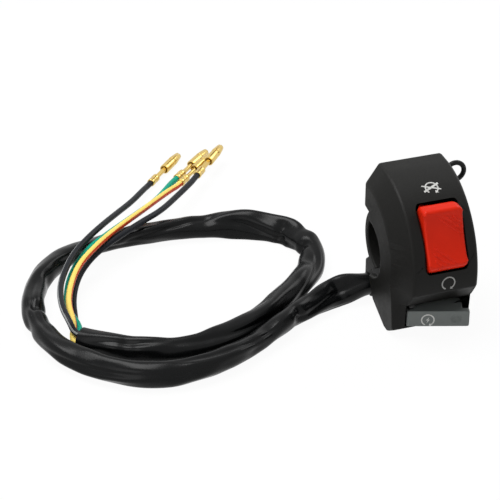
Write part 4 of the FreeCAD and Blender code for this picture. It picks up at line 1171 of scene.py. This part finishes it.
class SWITCH_OT_stage(bpy.types.Operator):
    """Pale floor, soft lamps and the camera"""
    bl_idname = "switch.stage"
    bl_label = "Stage"

    def execute(self, context):
        self.camera()
        self.floor()
        self.lamps()
        return {"FINISHED"}

    def camera(self):
        data = bpy.data.cameras.new("camera")
        data.lens = CAMERA_LENS
        data.sensor_width = 36
        data.clip_start = 0.01
        holder = add_object("camera", data)
        turn = spin(-CAMERA_TURN, "Z") @ spin(math.pi / 2 - CAMERA_DROP, "X")
        holder.matrix_world = Matrix.Translation(CAMERA_SPOT) @ turn
        bpy.context.scene.camera = holder
        bpy.context.scene.view_settings.view_transform = "Standard"

    def floor(self):
        """Matte floor that takes the shadow and is nearly white to the camera."""
        stage = settings("stage")
        bpy.ops.mesh.primitive_plane_add(size=FLOOR_WIDTH, location=(0, 0, FLOOR))
        floor = bpy.context.object
        floor.name = "floor"
        settle(floor)
        finish = Finish("pale_floor", base_color=stage.floor, roughness=0.9)
        white = finish.node("ShaderNodeEmission", inputs={"Color": (1, 1, 1), "Strength": 1})
        share = stage.whiteness * (finish.ray("Camera") + finish.ray("Glossy"))
        mixed = finish.node("ShaderNodeMixShader", inputs={
            0: share, 1: Value(finish, finish.shader.outputs[0]), 2: white})
        finish.feed(finish.tree.nodes["Material Output"].inputs["Surface"], mixed)
        floor.data.materials.append(finish.material)

    def lamps(self):
        """Room that is white to look at, and lamps that light the switch at a plain level."""
        stage = settings("stage")
        world = bpy.data.worlds.new("room")
        bpy.context.scene.world = world
        world.use_nodes = True
        nodes = Nodes(world.node_tree)
        background = nodes.tree.nodes["Background"]
        looks = nodes.ray("Camera") + nodes.ray("Glossy") + nodes.ray("Transmission")
        nodes.feed(background.inputs["Color"], (1, 1, 1))
        nodes.feed(background.inputs["Strength"], stage.room + (1 - stage.room) * looks)
        for name, (spot, size, share) in LAMPS.items():
            data = bpy.data.lights.new(name, "AREA")
            data.shape = "SQUARE"
            data.size = size
            data.energy = stage.key * share
            aim = (LAMP_AIM - Vector(spot)).to_track_quat("-Z", "Y")
            lamp = add_object(name, data)
            lamp.matrix_world = Matrix.Translation(spot) @ aim.to_matrix().to_4x4()


OPERATORS = [
    SWITCH_OT_stage, SWITCH_OT_terminals, SWITCH_OT_leads, SWITCH_OT_harness_sleeve,
    SWITCH_OT_housing, SWITCH_OT_rocker, SWITCH_OT_lever, SWITCH_OT_symbols, SWITCH_OT_hardware,
]


class SWITCH_PT_panel(bpy.types.Panel):
    """Buttons and sizes of the switch"""
    bl_idname = "SWITCH_PT_panel"
    bl_label = "Handlebar kill switch"
    bl_space_type = "VIEW_3D"
    bl_region_type = "UI"
    bl_category = "Switch"

    def draw(self, context):
        for operator in OPERATORS:
            self.layout.operator(operator.bl_idname)
        for name, group in GROUPS.items():
            box = self.layout.box()
            box.label(text=name.capitalize())
            for entry in group.__annotations__:
                box.prop(settings(name), entry)


CLASSES = [*GROUPS.values(), *OPERATORS, SWITCH_PT_panel]


def register():
    for item in CLASSES:
        bpy.utils.register_class(item)
    for name, group in GROUPS.items():
        setattr(bpy.types.Scene, f"switch_{name}", bpy.props.PointerProperty(type=group))


def unregister():
    for name in GROUPS:
        delattr(bpy.types.Scene, f"switch_{name}")
    for item in reversed(CLASSES):
        bpy.utils.unregister_class(item)


def main():
    register()
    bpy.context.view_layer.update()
    bpy.ops.switch.stage()
    bpy.ops.switch.terminals()
    bpy.ops.switch.leads()
    bpy.ops.switch.harness_sleeve()
    bpy.ops.switch.housing()
    bpy.ops.switch.rocker()
    bpy.ops.switch.lever()
    bpy.ops.switch.symbols()
    bpy.ops.switch.hardware()


if __name__ == "__main__":
    main()
